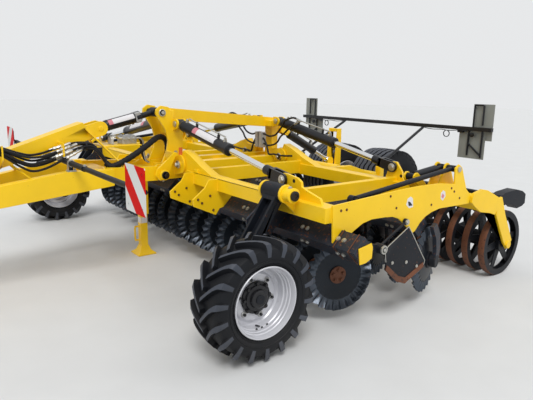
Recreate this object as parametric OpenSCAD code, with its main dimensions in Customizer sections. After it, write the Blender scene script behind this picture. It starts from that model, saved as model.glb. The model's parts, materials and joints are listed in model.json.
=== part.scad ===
// Trailed short disc harrow with two folding wings, standing unfolded.
// X points forward, Y to the machine's left and Z up. The ground is z = 0.
// Lengths along X are counted from a line transport_back ahead of the transport axle, and at_datum() puts
// them in the part's frame, whose origin is below the middle of the machine.

/* [Machine] */
// Height of the fold hinges' pins
hinge_z = 930; // [900:5:960]
// Distance of a fold hinge from the middle plane
hinge_y = 300; // [290:5:310]
// Place of the front fold hinge
hinge_front_x = -600; // [-620:5:-590]
// Place of the rear fold hinge
hinge_rear_x = -1750; // [-1780:5:-1730]
// Diameter of a fold hinge's pin
hinge_pin_d = 60; // [40:2:70]

/* [Wing frame] */
// Outer face of the outer side plate
side_plate_y = 2200; // [2180:5:2220]
// Thickness of the outer side plate
side_plate_t = 15; // [10:1:25]
// Width of the two cross beams along X
beam_w = 120; // [100:5:140]
// Depth of the two cross beams
beam_h = 100; // [80:5:120]
// Top of the cross beams
beam_top_z = 890; // [880:5:900]
// Thickness of the two long members
member_t = 60; // [40:5:80]
// Depth of the two long members
member_h = 120; // [90:5:130]
// Thickness of a plate that hangs the disc beams
hanger_t = 15; // [10:1:20]

/* [Disc rows] */
// Side of the square disc beam, which lies on its edge
gang_side = 130; // [110:5:135]
// Place of the front disc beam
gang_front_x = -680; // [-690:5:-670]
// Place of the rear disc beam
gang_rear_x = -1500; // [-1520:5:-1480]
// Height of the disc beams' middle
gang_z = 645; // [635:5:650]
// Diameter of a disc
disc_d = 520; // [460:5:540]
// Thickness of a disc
disc_t = 6; // [4:1:10]
// Height of the disc hubs
disc_z = 340; // [335:1:345]
// Distance between discs in a row
disc_pitch = 232; // [230:1:234]
// Number of discs in a row of one wing
disc_count = 9; // [5:1:9]
// Angle of a disc to the line of travel
disc_angle = 17; // [8:1:20]
// Notches around a disc
disc_notches = 18; // [8:1:24]

/* [Gauge wheels] */
// Outer diameter of a gauge tyre over its lugs
gauge_tyre_d = 760; // [740:5:780]
// Width of a gauge tyre
gauge_tyre_w = 290; // [260:2:300]
// Place of the gauge wheels' axle
gauge_x = -97; // [-120:1:-60]
// Middle plane of a gauge wheel
gauge_y = 2060; // [2050:5:2080]
// Diameter of the rim where the tyre sits
gauge_rim_d = 430; // [400:5:440]
// Height of the bars of a gauge tyre's tread
tread_bar_h = 24; // [10:1:30]
// Number of bars on each half of a gauge tyre
tread_bars = 16; // [12:1:18]

/* [Roller] */
// Distance of the roller's shaft behind the datum line
roller_back = 2750; // [2740:5:2770]
// Outer diameter of a roller ring
ring_d = 590; // [560:5:600]
// Width of a roller ring
ring_w = 60; // [40:2:70]
// Distance between roller rings
ring_pitch = 160; // [150:1:162]
// Number of rings on one roller
ring_count = 9; // [5:1:9]

/* [Transport axle] */
// Distance of the transport wheels behind the datum line
transport_back = 3220; // [3200:5:3260]
// Height of the raised transport axle
transport_z = 500; // [480:5:540]
// Outer diameter of a transport tyre
transport_tyre_d = 875; // [820:5:890]
// Width of a transport tyre
transport_tyre_w = 400; // [340:5:410]
// Middle plane of a transport wheel
transport_y = 395; // [380:5:400]
// Diameter of the transport wheel's rim
transport_rim_d = 420; // [400:5:440]

/* [Drawbar] */
// Place of the drawbar's cross pin
draw_pin_x = -350; // [-360:5:-340]
// Height of the drawbar's cross pin
draw_pin_z = 860; // [850:5:870]
// Place of the hitch eye
hitch_x = 2570; // [2500:10:2640]
// Height of the hitch eye
hitch_z = 560; // [520:5:600]
// Bore of the hitch eye
hitch_bore = 50; // [40:1:60]

/* [Hidden] */
$fn = 48;
fit = 0.05;          // radial clearance of a turning fit
gap = 0.3;           // clearance between pieces that only stand close
lug_gap = 5;         // clearance beside a clevis
wheel_fn = 32;       // facets around a tyre and its rim
yellow = [0.93, 0.75, 0.07];
dark = [0.13, 0.15, 0.18];
rust = [0.42, 0.23, 0.13];
rubber = [0.08, 0.08, 0.09];
silver = [0.78, 0.79, 0.80];
chrome = [0.86, 0.87, 0.88];
grey = [0.55, 0.57, 0.53];
white = [0.93, 0.93, 0.92];

eye_d = 110;         // hitch eye's outer diameter
datum_x = (transport_back + transport_tyre_d / 2 - hitch_x - eye_d / 2) / 2;
half_gang = gang_side / sqrt(2);
beam_z0 = beam_top_z - beam_h;
front_beam = [hinge_front_x - beam_w / 2, hinge_front_x + beam_w / 2];
rear_beam = [hinge_rear_x - beam_w / 2, hinge_rear_x + beam_w / 2];
member_y = [550, 1700];                        // inner faces of the two long members
member_top = beam_top_z + 30;

// Fold cylinder, in the plane across the machine
fold_base = [200, 1280];                       // pin on the centre frame
fold_eye = [1715, 998];                        // pin on the wing
fold_len = norm(fold_eye - fold_base);
fold_dir = atan2(fold_eye[1] - fold_base[1], fold_eye[0] - fold_base[0]);
fold_barrel_d = 95;
fold_barrel_end = 840;
fold_rod_d = 50;
fold_rod_tail = 700;
fold_pin_d = 40;
fold_lug_t = 20;
fold_cheek_t = 18;

// Top link, in the middle plane
tower_pin = [-450, 1380];
arm_pin = [80, 1250];
link_len = norm(tower_pin - arm_pin);
link_dir = atan2(tower_pin[1] - arm_pin[1], tower_pin[0] - arm_pin[0]);
link_barrel_d = 95;
link_barrel_end = 400;
link_rod_d = 50;
link_pin_d = 40;

// Transport frame and its lift cylinder
lift_pivot = [-2120, 800];
lift_base = [-1990, 1150];
lift_eye = [-2660, 790];
lift_len = norm(lift_eye - lift_base);
lift_dir = atan2(lift_eye[1] - lift_base[1], lift_eye[0] - lift_base[0]);
lift_barrel_d = 90;
lift_barrel_end = 500;
lift_rod_d = 45;
arm_y = [620, 700];                            // side arms of the transport frame

roller_x = -roller_back;
roller_z = ring_d / 2;
leg_t = 22;                                    // thickness of the roller's legs
roller_out = side_plate_y + gap;               // inner face of the outer leg
ring_y0 = roller_out - 58 - (ring_count - 1) * ring_pitch;   // middle of the innermost ring
roller_in = ring_y0 - ring_w / 2 - 35;         // outer face of the inner leg
transport_x = -transport_back;
gauge_z = gauge_tyre_d / 2;

module at_datum() translate([datum_x, 0, 0]) children();

module right() mirror([0, 1, 0]) children();

// Box between two corners
module box(x, y, z) translate([x[0], y[0], z[0]]) cube([x[1] - x[0], y[1] - y[0], z[1] - z[0]]);

// Plate across Y from an outline of X and Z, starting at y
module plate_y(points, y, t) translate([0, y + t, 0]) rotate([90, 0, 0]) linear_extrude(t) polygon(points);

// Plate across X from an outline of Y and Z, starting at x
module plate_x(points, x, t) translate([x, 0, 0]) rotate([90, 0, 90]) linear_extrude(t) polygon(points);

// Round bar along Y and along X
module bar_y(d, y, x, z) translate([x, y[0], z]) rotate([-90, 0, 0]) cylinder(d = d, h = y[1] - y[0]);
module bar_x(d, x, y, z) translate([x[0], y, z]) rotate([0, 90, 0]) cylinder(d = d, h = x[1] - x[0]);

// Square bar between two points of the X and Z plane
module strut_y(a, b, w, y, raised = 0) {
    d = b - a;
    translate([a[0], y[0], a[1]]) rotate([0, -atan2(d[1], d[0]), 0])
        translate([0, 0, raised - w / 2]) cube([norm(d), y[1] - y[0], w]);
}

// Round bar between two points in space
module rod(a, b, d) {
    v = b - a;
    translate(a) rotate([0, acos(v[2] / norm(v)), atan2(v[1], v[0])]) cylinder(d = d, h = norm(v));
}

// Flat bar between two points in space, thick along X
module flat_bar(a, b, t, w) hull() {
    translate(a - [t / 2, w / 2, 0]) cube([t, w, 1]);
    translate(b - [t / 2, w / 2, 0]) cube([t, w, 1]);
}

// Hose through a list of points
module hose(points, d) for (i = [0 : len(points) - 2]) hull() {
    translate(points[i]) sphere(d = d, $fn = 16);
    translate(points[i + 1]) sphere(d = d, $fn = 16);
}

// Points of an arc in a plane
function arc(c, r, a0, a1, n) =
    [for (i = [0 : n]) [c[0] + r * cos(a0 + (a1 - a0) * i / n), c[1] + r * sin(a0 + (a1 - a0) * i / n)]];

// Centre frame: two long beams, cross beams, hinge lugs and the drawbar's pins
centre_x = [-2060, -440];
centre_y = [110, 210];
centre_z = [790, 930];
module hinge_lugs(x) {
    eye = 85;
    outline = concat([[centre_y[0] + 42, centre_z[0] + 20]], arc([hinge_y, hinge_z], eye, -60, 110, 10),
        [[centre_y[0] + 42, hinge_z + 70]]);
    for (s = [-1, 1]) plate_x(outline, x + s * 55 - 10, 20);
    bar_x(hinge_pin_d, [x - 78, x + 78], hinge_y, hinge_z);
}
module centre_half() {
    box(centre_x, centre_y, centre_z);
    hinge_lugs(hinge_front_x);
    hinge_lugs(hinge_rear_x);
    // Draw pin between the tower's foot and the frame
    difference() {
        plate_y([[-500, 800], [draw_pin_x - 20, 800], [draw_pin_x + 60, 840], [draw_pin_x + 60, 890],
            [draw_pin_x - 20, 930], [-500, 930]], 190, 20);
        bar_y(50, [180, 220], draw_pin_x, draw_pin_z);
    }
    bar_y(50, [190, 372], draw_pin_x, draw_pin_z);
    bar_y(90, [372, 384], draw_pin_x, draw_pin_z);
    // Transport frame's pivot
    plate_y([[-2060, 790], [-2060, 930], [lift_pivot[0], 860], [lift_pivot[0] - 60, 800],
        [lift_pivot[0], 740]], 190, 20);
    bar_y(60, [150, 300], lift_pivot[0], lift_pivot[1]);
}
module centre_frame() color(yellow) at_datum() {
    centre_half();
    right() centre_half();
    for (x = [-520, -1180, -1750, -2000]) box([x - 50, x + 50], [-centre_y[0], centre_y[0]], [800, 900]);
    // Post at the rear that carries the top beam and the lift cylinder
    box([-1840, -1760], [-60, 60], [900, 1180]);
    // Socket of the parking jack
    difference() {
        box([jack_x - 45, jack_x + 45], [jack_y - 45, jack_y + 45], [400, 820]);
        box([jack_x - 35 - gap, jack_x + 35 + gap], [jack_y - 35 - gap, jack_y + 35 + gap], [390, 805]);
        // Slot in which the handle's ends rise
        box([jack_x + 30, jack_x + 50], [jack_y - 13, jack_y + 13], [390, 530]);
    }
    box([-440, -320], [-210, -110], [800, 880]);
}

// Tower: two side plates, the top beam and the bases of the fold cylinders
module tower_half() {
    difference() {
        plate_y([[-440, 930.3], [-650, 930.3], [-655, 1230], [-560, 1300], [-515, 1430],
            [-440, 1442], [-395, 1410], [-390, 1370], [-480, 1230], [-505, 1130], [-490, 1040]], 125, 25);
        bar_y(link_pin_d, [100, 200], tower_pin[0], tower_pin[1]);
    }
    bar_y(link_pin_d, [125, 160], tower_pin[0], tower_pin[1]);
    // Foot plate from the tower down to the draw pin
    difference() {
        plate_y([[-300, 900], [-290, 850], [-330, 805], [-390, 805], [-420, 880], [-500, 1040], [-470, 1040]],
            310, 20);
        bar_y(50.2, [300, 340], draw_pin_x, draw_pin_z);
    }
    plate_x([[150, 1040], [330, 1040], [330, 1010], [150, 960]], -500, 30);
    // Fold cylinder's base at the front
    fold_base_lugs(hinge_front_x, 150);
}
module fold_base_lugs(x, from_y) {
    outline = concat([[from_y, fold_base[1] - 60]], arc(fold_base, 45, -60, 90, 8),
        [[from_y, fold_base[1] + 45]]);
    for (s = [-1, 1]) translate([x + s * 38 - 8, 0, 0]) plate_x(outline, 0, 16);
    bar_x(fold_pin_d, [x - 52, x + 52], fold_base[0], fold_base[1]);
}
module tower() color(yellow) at_datum() {
    tower_half();
    right() tower_half();
    // Web between the plates, then the top beam
    box([-640, -560], [-125, 125], [1180, 1260]);
    box([-640, -600], [-125, 125], [930.3, 1000]);
    plate_y([[-540, 1310], [-540, 1420], [-1900, 1300], [-1900, 1200]], -60, 120);
    box([-580, -540], [-125, 125], [1310, 1400]);
    box([-1840, -1760], [-60, 60], [1180.3, 1215]);
    box([-1830, -1670], [-150, 150], [1225, 1285]);
    for (m = [0, 1]) mirror([0, m, 0]) {
        fold_base_lugs(hinge_rear_x, 150);
        // Base of the lift cylinder behind the top beam
        plate_y([[-1900, 1290], [-1900, 1150], [-1990, 1110], [-2030, 1150], [-1990, 1195]], 32, 14);
    }
    bar_y(40, [-50, 50], lift_base[0], lift_base[1]);
}

// Parking jack with its foot on the ground
jack_x = -380;
jack_y = -185;
module jack() color(yellow) at_datum() {
    translate([jack_x, jack_y, 0]) {
        translate([-35, -35, 20]) cube([70, 70, 520]);
        rotate([0, 0, 45]) cylinder(d = 185 * sqrt(2), h = 12, $fn = 4);
        rotate([0, 0, 45]) translate([0, 0, 12]) cylinder(d1 = 185 * sqrt(2), d2 = 110 * sqrt(2), h = 28, $fn = 4);
        rotate([0, 0, 45]) translate([0, 0, 40]) cylinder(d1 = 110 * sqrt(2), d2 = 78 * sqrt(2), h = 48, $fn = 4);
        // Handle
        translate([75, -8, 136]) cube([12, 16, 148]);
        for (z = [136, 272]) translate([30, -8, z]) cube([50, 16, 12]);
    }
}

// Drawbar: two beams that close on the hitch head, and the raised arm for the top link
module draw_beam() {
    // Rear length beside the pin
    difference() {
        union() {
            plate_y([[-330, 800], [150, 815], [150, 945], [-330, 925]], 240, 50);
            bar_y(120, [240, 290], draw_pin_x, draw_pin_z);
        }
        bar_y(50 + 6 * fit, [200, 310], draw_pin_x, draw_pin_z);
    }
    // Long length to the hitch
    intersection() {
        plate_y([[100, 812], [100, 945], [460, 945], [2300, 640], [2300, 520]], 0, 500);
        linear_extrude(2000) polygon([[100, 240], [100, 390], [150, 390], [2300, 90], [2300, 0], [2200, 0],
            [150, 320]]);
    }
}
module drawbar() color(yellow) at_datum() {
    draw_beam();
    right() draw_beam();
    // Cross tubes
    box([60, 180], [-250, 250], [830, 920]);
    bar_y(90, [-230, 230], 900, 800);
    // Hitch head
    difference() {
        box([2200, 2420], [-60, 60], [500, 660]);
        box([2300, 2421], [-61, 61], [540, 600]);
    }
    // Raised arm, a tapered box with a fork around the cylinder's eye
    difference() {
        union() {
            plate_y([[1950, 640], [1950, 724], [228, 1305], [161, 1166], [877, 968], [1560, 779], [1700, 640]],
                -75, 150);
            for (s = [-1, 1]) plate_y(concat([[300, 1130], [300, 1250]], arc(arm_pin, 62, 70, 250, 8)),
                s * 65 - 10, 20);
        }
        box([-100, 165], [-52, 52], [1100, 1400]);
    }
    bar_y(link_pin_d, [-82, 82], arm_pin[0], arm_pin[1]);
    // Holder of the hoses
    for (x = [430, 870]) difference() {
        plate_x([[60, x > 600 ? 960 : 1040], [60, x > 600 ? 1080 : 1160], [hose_y + 50, 1160],
            [hose_y + 50, 1050]], x, 12);
        hose(hose_route, hose_d + 2 * gap);
    }
    // Flat bars between the arm and the beams, and the shelf of the valve block
    for (s = [-1, 1]) {
        flat_bar([205, s * 60, 1250], [-60, s * 265, 915], 14, 30);
        flat_bar([801, s * 60, 1000], [690, s * 290, 890], 14, 30);
    }
    box([-250, 100], [-150, 150], [1098, 1108]);
}

// Hitch eye, an interchangeable coupling
module hitch_eye() color(dark) at_datum() {
    difference() {
        union() {
            translate([hitch_x, 0, hitch_z - 20]) cylinder(d = eye_d, h = 40);
            box([2300.3, hitch_x - 30], [-40, 40], [hitch_z - 20, hitch_z + 19.7]);
        }
        translate([hitch_x, 0, hitch_z - 30]) cylinder(d = hitch_bore, h = 60);
    }
}

module top_link_barrel() color(dark) at_datum() translate([arm_pin[0], 0, arm_pin[1]]) rotate([0, -link_dir, 0])
    difference() {
        union() {
            bar_y(90, [-52 + gap, 52 - gap], 0, 0);
            translate([30, 0, 0]) rotate([0, 90, 0]) cylinder(d = link_barrel_d, h = link_barrel_end - 30);
        }
        bar_y(link_pin_d + 2 * fit, [-60, 60], 0, 0);
        translate([80, 0, 0]) rotate([0, 90, 0]) cylinder(d = link_rod_d + 2 * fit, h = 400);
    }
module top_link_rod() color(chrome) at_datum() translate([arm_pin[0], 0, arm_pin[1]]) rotate([0, -link_dir, 0]) {
    translate([190, 0, 0]) rotate([0, 90, 0]) cylinder(d = link_rod_d, h = link_len - 190);
    bar_y(84, [-60, 60], link_len, 0);
    bar_y(60, [-120, 120], link_len, 0);
}

// Telescopic tube of the warning boards, clamped on the drawbar
sign_x = 420;
sign_z = 1010;
board_z = 1020;
board = 282;
board_y = 1635;
module sign_bar() color(dark) at_datum() {
    bar_y(45, [-1700, 1700], sign_x, sign_z);
    for (s = [-1, 1]) {
        box([sign_x - 30, sign_x + 30], [s * 285 - 25, s * 285 + 25], [945.3, 990]);
        box([sign_x + 15, sign_x + 30], [s * board_y - 100, s * board_y + 100], [sign_z - 15, sign_z + 15]);
    }
}
module sign_boards() color(white) at_datum()
    for (s = [-1, 1]) box([sign_x + 30.3, sign_x + 34], [s * board_y - board / 2, s * board_y + board / 2],
        [board_z - board / 2, board_z + board / 2]);

// Transport frame: pivot tube, side arms, cross beam with the cylinder's lug, and the axle
module transport_half() {
    strut_y([lift_pivot[0] - 20, lift_pivot[1]], [transport_x, transport_z], 105, arm_y);
    bar_y(135, [arm_y[0], arm_y[1] + 5], transport_x, transport_z);
    difference() {
        bar_y(125, [215, arm_y[1] + 10], lift_pivot[0], lift_pivot[1]);
        bar_y(60 + 2 * fit, [140, 300.5], lift_pivot[0], lift_pivot[1]);
    }
    bar_y(70, [0, arm_y[1]], transport_x, transport_z);
    box([-2850, -2790], [arm_y[0] + 5, arm_y[1] - 5], [610, 789.7]);
}
module transport_frame() color(yellow) at_datum() {
    transport_half();
    right() transport_half();
    box([-2720, -2600], [-arm_y[1], arm_y[1]], [640, 740]);
    for (s = [-1, 1]) plate_y(concat([[-2620, 720], [-2700, 720]], arc(lift_eye, 45, 180, 0, 8)), s * 39 - 7, 14);
    // Mast behind the cylinder's lug
    for (s = [-1, 1]) plate_y([[-2700, 660], [-2725, 1165], [-2790, 1165], [-2800, 660]], s * 65 - 8, 16);
    box([-2780, -2735], [-60, 60], [1125, 1160]);
}

// Tyre as a body of revolution, with a list of the half widths between which it has grooves
module wheel_tyre(d, w, rim, shoulder, grooves = []) rotate([90, 0, 0]) rotate_extrude($fn = wheel_fn) polygon(concat(
    [[rim / 2, -w * 0.36], [rim / 2 + 25, -w * 0.42], [(d + rim) / 4, -w / 2], [d / 2 - shoulder, -w * 0.46],
        [d / 2, -w * 0.34]],
    [for (g = grooves) each [[d / 2, g[0]], [d / 2 - groove_h, g[0] + 4], [d / 2 - groove_h, g[1] - 4],
        [d / 2, g[1]]]],
    [[d / 2, w * 0.34], [d / 2 - shoulder, w * 0.46], [(d + rim) / 4, w / 2], [rim / 2 + 25, w * 0.42],
        [rim / 2, w * 0.36]]));
groove_h = 14;
// Tyre with slanting bars that lead at the middle of the tread
module bar_tyre(d, w, rim, shoulder) {
    wheel_tyre(d - 2 * tread_bar_h, w, rim, shoulder);
    intersection() {
        wheel_tyre(d, w, rim, shoulder);
        for (m = [0, 1], i = [0 : tread_bars - 1]) mirror([0, m, 0])
            rotate([0, (i + m / 2) * 360 / tread_bars, 0]) rotate([0, 0, 38])
                translate([-17, -6, d / 2 - tread_bar_h - 22]) cube([34, w * 0.72, tread_bar_h + 30]);
    }
}
rim_edge = 9;                                  // how far a rim's edges stand above the tyre's seat
transport_rim_w = 340;
gauge_rim_w = 270;
// Rim with a dish towards the outside, from its edges to the bore
module wheel_rim(rim, w, bore) rotate([90, 0, 0]) rotate_extrude($fn = wheel_fn) polygon([
    [rim / 2 + rim_edge, -w / 2], [rim / 2 + rim_edge, 10 - w / 2], [rim / 2 - gap, 12 - w / 2],
    [rim / 2 - gap, w / 2 - 12], [rim / 2 + rim_edge, w / 2 - 10], [rim / 2 + rim_edge, w / 2],
    [rim / 2 - 22, w / 2], [rim / 2 - 30, w * 0.3],
    [rim / 2 - 34, -w * 0.2], [rim / 2 - 60, -w * 0.28], [bore / 2, -w * 0.28], [bore / 2, -w * 0.34],
    [rim / 2 - 60, -w * 0.34], [rim / 2 - 30, -w / 2]]);
module hub(d, bore, len) rotate([90, 0, 0]) difference() {
    cylinder(d = d, h = len, center = true);
    cylinder(d = bore, h = len + 2, center = true);
}
module transport_tyre() translate([transport_x, transport_y, transport_z])
    wheel_tyre(transport_tyre_d, transport_tyre_w, transport_rim_d, 30, [[-12, 12]]);
module transport_rim() translate([transport_x, transport_y, transport_z]) {
    wheel_rim(transport_rim_d, transport_rim_w, 150);
    hub(150.1, 70 + 2 * fit, 300);
}
module lift_barrel() color(dark) at_datum() translate([lift_base[0], 0, lift_base[1]]) rotate([0, -lift_dir, 0])
    difference() {
        union() {
            bar_y(80, [-26, 26], 0, 0);
            translate([30, 0, 0]) rotate([0, 90, 0]) cylinder(d = 50, h = 40);
            translate([58, 0, 0]) rotate([0, 90, 0]) cylinder(d = lift_barrel_d, h = lift_barrel_end - 58);
        }
        bar_y(40 + 2 * fit, [-60, 60], 0, 0);
        translate([80, 0, 0]) rotate([0, 90, 0]) cylinder(d = lift_rod_d + 2 * fit, h = 600);
    }
module lift_rod() color(chrome) at_datum() translate([lift_base[0], 0, lift_base[1]]) rotate([0, -lift_dir, 0]) {
    translate([280, 0, 0]) rotate([0, 90, 0]) cylinder(d = lift_rod_d, h = lift_len - 280);
    bar_y(76, [-25, 25], lift_len, 0);
}

// Light bar behind the transport wheels
light_x = -3580;
light_z = 1200;
module light_half() {
    rod([-2830, 660, 812], [light_x, 640, light_z], 32);
    box([-2850, -2800], [625, 695], [790, 812]);
}
module light_bar() color(dark) at_datum() {
    box([light_x - 20, light_x + 20], [-1500, 1500], [light_z, light_z + 40]);
    // Frames of the boards, the upper open at its top and the lower at its bottom
    for (s = [-1, 1], b = light_board_table, y = [b[0] - 12, b[1]]) box([light_x - 20, light_x - 4],
        [min(s * y, s * (y + 12)), max(s * y, s * (y + 12))], [min(b[2], light_z), max(b[3], light_z)]);
    light_half();
    right() light_half();
}
// Inner edge, outer edge, bottom and top of each board
light_board_table = [[1248, 1488, 1243, 1485], [1106, 1419, 895, 1228]];
module light_boards() color(grey) at_datum() for (s = [-1, 1], b = light_board_table)
    box([light_x - 36, light_x - 20 - gap], [min(s * b[0], s * b[1]), max(s * b[0], s * b[1])], [b[2], b[3]]);

// Block of hydraulic valves on the drawbar's shelf
module valve_block() color(grey) at_datum() {
    box([-240, -110], [-60, 60], [1108 + gap, 1190]);
    box([-225, -125], [-85, 85], [1130, 1165]);
}

// Hoses that lie along the drawbar, from their couplings down to its rear cross tube
hose_y = 175;
hose_d = 60;
hose_route = [for (p = [[900, 1120], [758, 1021], [675, 984], [579, 1008], [383, 1099], [262, 1133],
    [197, 1121], [130, 1043], [70, 960]]) [p[0], hose_y, p[1]]];
module hose_bundle() color(rubber) at_datum() hose(hose_route, hose_d);

// Wing frame of the left side
side_outline = [[-587, 904], [-603, 650], [-680, 650], [-788, 714], [-870, 752], [-955, 767], [-1087, 763],
    [-1171, 755], [-1238, 732], [-1310, 678], [-1398, 602], [-1431, 615], [-1482, 668], [-1536, 705],
    [-1617, 732], [-1714, 747], [-2102, 739], [-2119, 802], [-2046, 863], [-1960, 1040], [-1918, 1066],
    [-1875, 1040], [-1881, 918], [-1686, 941], [-1446, 945], [-1225, 939]];
// Plate that hangs the front disc beam, with its point forward
hanger_outline = [[-700, 800], [-560, 800], [-540, 889], [-460, 889], [-423, 828], [-359, 779], [-314, 744],
    [-322, 687], [-524, 595], [-560, 645], [-700, 680]];
hanger_y = [530, 920, 1650];                   // the outermost one carries a gauge wheel's lug too
rear_hanger = [[-60, 175], [60, 175], [120, 0], [80, -30], [0, 20], [-80, -30], [-120, 0]];
module diamond(x, y, side = gang_side) translate([x, y[0], gang_z]) rotate([-90, 0, 0]) rotate([0, 0, 45])
    translate([-side / 2, -side / 2, 0]) cube([side, side, y[1] - y[0]]);
// Lug of a fold cylinder's eye, whose outer half is given
module fold_lug(x, outer) plate_x(concat([[fold_eye[0] - 80, beam_top_z - 1], [fold_eye[0] - 48, fold_eye[1] - 8],
    [fold_eye[0] - 30, fold_eye[1] + 32], [fold_eye[0] - 10, fold_eye[1] + 44], [fold_eye[0] + 30, fold_eye[1] + 44]],
    outer), x - fold_lug_t / 2, fold_lug_t);
front_lug_outer = [[1850, 1028], [1891, 1007], [1898, 975], [1943, 959], [2079, 926], [2100, beam_top_z - 1]];
rear_lug_outer = [[1806, 969], [1812, 928], [1850, beam_top_z - 1]];
module hinge_arm(x) difference() {
    union() {
        bar_x(140, [x - 42, x + 42], hinge_y, hinge_z);
        plate_x([[hinge_y, hinge_z - 70], [hinge_y + 60, beam_z0], [640, beam_z0], [820, beam_top_z],
            [622, 954], [450, 1025], [hinge_y + 30, 1060], [hinge_y, hinge_z + 70]], x - 42, 84);
    }
    bar_x(hinge_pin_d + 2 * fit, [x - 90, x + 90], hinge_y, hinge_z);
}
gauge_pivot = [-470, 938];
gauge_arm_y = [1715, 1845];                    // inner and outer face of a gauge wheel's arm
gauge_lug_gap = 30;
module gauge_lug(y, t) difference() {
    union() {
        plate_y(concat([[-560, beam_z0], [-560, 900]], arc(gauge_pivot, 62, 110, -80, 8)), y, 20);
        bar_y(90, [y, y + t], gauge_pivot[0], gauge_pivot[1]);
    }
    bar_y(70, [y - 1, y + t + 1], gauge_pivot[0], gauge_pivot[1]);
}
gang_end = 2390;                               // outer end of the front disc beam
depth_pin = [-1918, 1028];                     // pin of the depth lever, in X and Z
depth_base = [-1540, 985];                     // pin of its cylinder's base
depth_rod_pin = [-820, 908];                   // front pin of its long rod
module wing_frame() difference() {
    union() {
        box(front_beam, [420, side_plate_y - side_plate_t], [beam_z0, beam_top_z]);
        box(rear_beam, [420, side_plate_y - side_plate_t], [beam_z0, beam_top_z]);
        for (y = member_y) box([rear_beam[0], front_beam[1]], [y, y + member_t], [member_top - member_h, member_top]);
        plate_y(side_outline, side_plate_y - side_plate_t, side_plate_t);
        hinge_arm(hinge_front_x);
        hinge_arm(hinge_rear_x);
        fold_lug(hinge_front_x, front_lug_outer);
        fold_lug(hinge_rear_x, rear_lug_outer);
        for (y = hanger_y) plate_y(hanger_outline, y, hanger_t);
        for (y = member_y) translate([gang_rear_x, 0, gang_z]) plate_y(rear_hanger, y + 20, hanger_t);
        gauge_lug(gauge_arm_y[0] - gauge_lug_gap - 25, 25);
        gauge_lug(gauge_arm_y[1] + gauge_lug_gap, 80);
        // Cap on the front disc beam's end
        plate_y([[-625, 671], [-739, 689], [-751, 662], [-748, 591], [-695, 569], [-642, 566]], gang_end + gap, 8);
        // Inner lugs of the depth lever, and the lugs of its cylinder's base
        for (y = [2000, 2085]) plate_y(concat([[-1810, 880], [-2046, 850]], arc(depth_pin, 38, 150, 0, 5)), y, 15);
        box([-2046, -1800], [2000, side_plate_y - side_plate_t], [beam_top_z - 60, beam_top_z]);
        for (y = [2000, 2085]) plate_y(concat([[-1700, 800], [-1700, 890]], arc(depth_base, 35, 150, -60, 5)), y, 15);
        // Inner carrier of the roller frame
        box([-2000, rear_beam[0]], [900, 960], [beam_z0, beam_top_z]);
    }
    diamond(gang_front_x, [30, gang_end], gang_side + 2 * gap);
    diamond(gang_rear_x, [30, side_plate_y - side_plate_t - 0.1], gang_side + 2 * gap);
}

// Disc beams with an arm and a bearing for each disc
front_disc_y = 2030;
rear_disc_y = 2130;
// Beam, outermost disc, and the side that the hollow faces: 1 away from the middle, -1 towards it
rows = [[gang_front_x, front_disc_y, 1], [gang_rear_x, rear_disc_y, -1]];
hub_back = 170;                                // discs hang this far behind their beam
module at_discs() for (row = rows) for (i = [0 : disc_count - 1])
    translate([row[0] - hub_back, row[1] - i * disc_pitch, disc_z])
        if (row[2] > 0) rotate([0, 0, -disc_angle]) children();
        else right() rotate([0, 0, -disc_angle]) children();
module disc_beams() {
    diamond(gang_front_x, [40, gang_end]);
    diamond(gang_rear_x, [40, side_plate_y - side_plate_t - 0.5]);
    at_discs() {
        bar_y(100, [-95, -50], 0, 0);
        plate_y([[hub_back - 60, gang_z - disc_z - 50], [hub_back - 30, gang_z - disc_z - 10],
            [60, gang_z - disc_z + 5], [-40, 210], [-70, 80], [-40, -35], [30, -35], [20, 90], [50, 190],
            [90, 230]], -95, 30);
    }
}
function notched(r, n) = [for (i = [0 : 2 * n - 1]) let (a = i * 180 / n, q = i % 2 == 0 ? r : r - 22)
    each [[q * cos(a - 55 / n), q * sin(a - 55 / n)], [q * cos(a + 55 / n), q * sin(a + 55 / n)]]];
module discs() at_discs() rotate([90, 0, 0]) {
    difference() {
        linear_extrude(disc_t) polygon(notched(disc_d / 2, disc_notches));
        translate([0, 0, -1]) cylinder(d = 300, h = disc_t + 2);
    }
    rotate_extrude() polygon([[151, 0], [151, disc_t], [40, 36], [0, 36], [0, 30], [40, 30]]);
    translate([0, 0, 30]) cylinder(d = 110, h = 19.7);
}

// Arm of a gauge wheel, a channel open to the front, with its pivot and stub axle
module gauge_arm() {
    axle = [gauge_x, gauge_z];
    along = (axle - gauge_pivot) / norm(axle - gauge_pivot);
    bar_y(69.4, [gauge_arm_y[0] - gauge_lug_gap - 25, gauge_arm_y[1] + gauge_lug_gap + 90], gauge_pivot[0],
        gauge_pivot[1]);
    bar_y(120, [gauge_arm_y[0] - gauge_lug_gap + gap, gauge_arm_y[1] + gauge_lug_gap - gap], gauge_pivot[0],
        gauge_pivot[1]);
    difference() {
        strut_y(gauge_pivot, axle, 72, gauge_arm_y);
        strut_y(gauge_pivot + 75 * along, axle - 70 * along, 52, gauge_arm_y + [20, -20], 12);
    }
    bar_y(110, gauge_arm_y, axle[0], axle[1]);
    bar_y(60, [gauge_arm_y[1], gauge_y + 70], axle[0], axle[1]);
}
module gauge_tyre() translate([gauge_x, gauge_y, gauge_z]) bar_tyre(gauge_tyre_d, gauge_tyre_w, gauge_rim_d, 26);
module gauge_rim() translate([gauge_x, gauge_y, gauge_z]) {
    wheel_rim(gauge_rim_d, gauge_rim_w, 160);
    hub(160.1, 60 + 2 * fit, 150);
}

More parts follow.
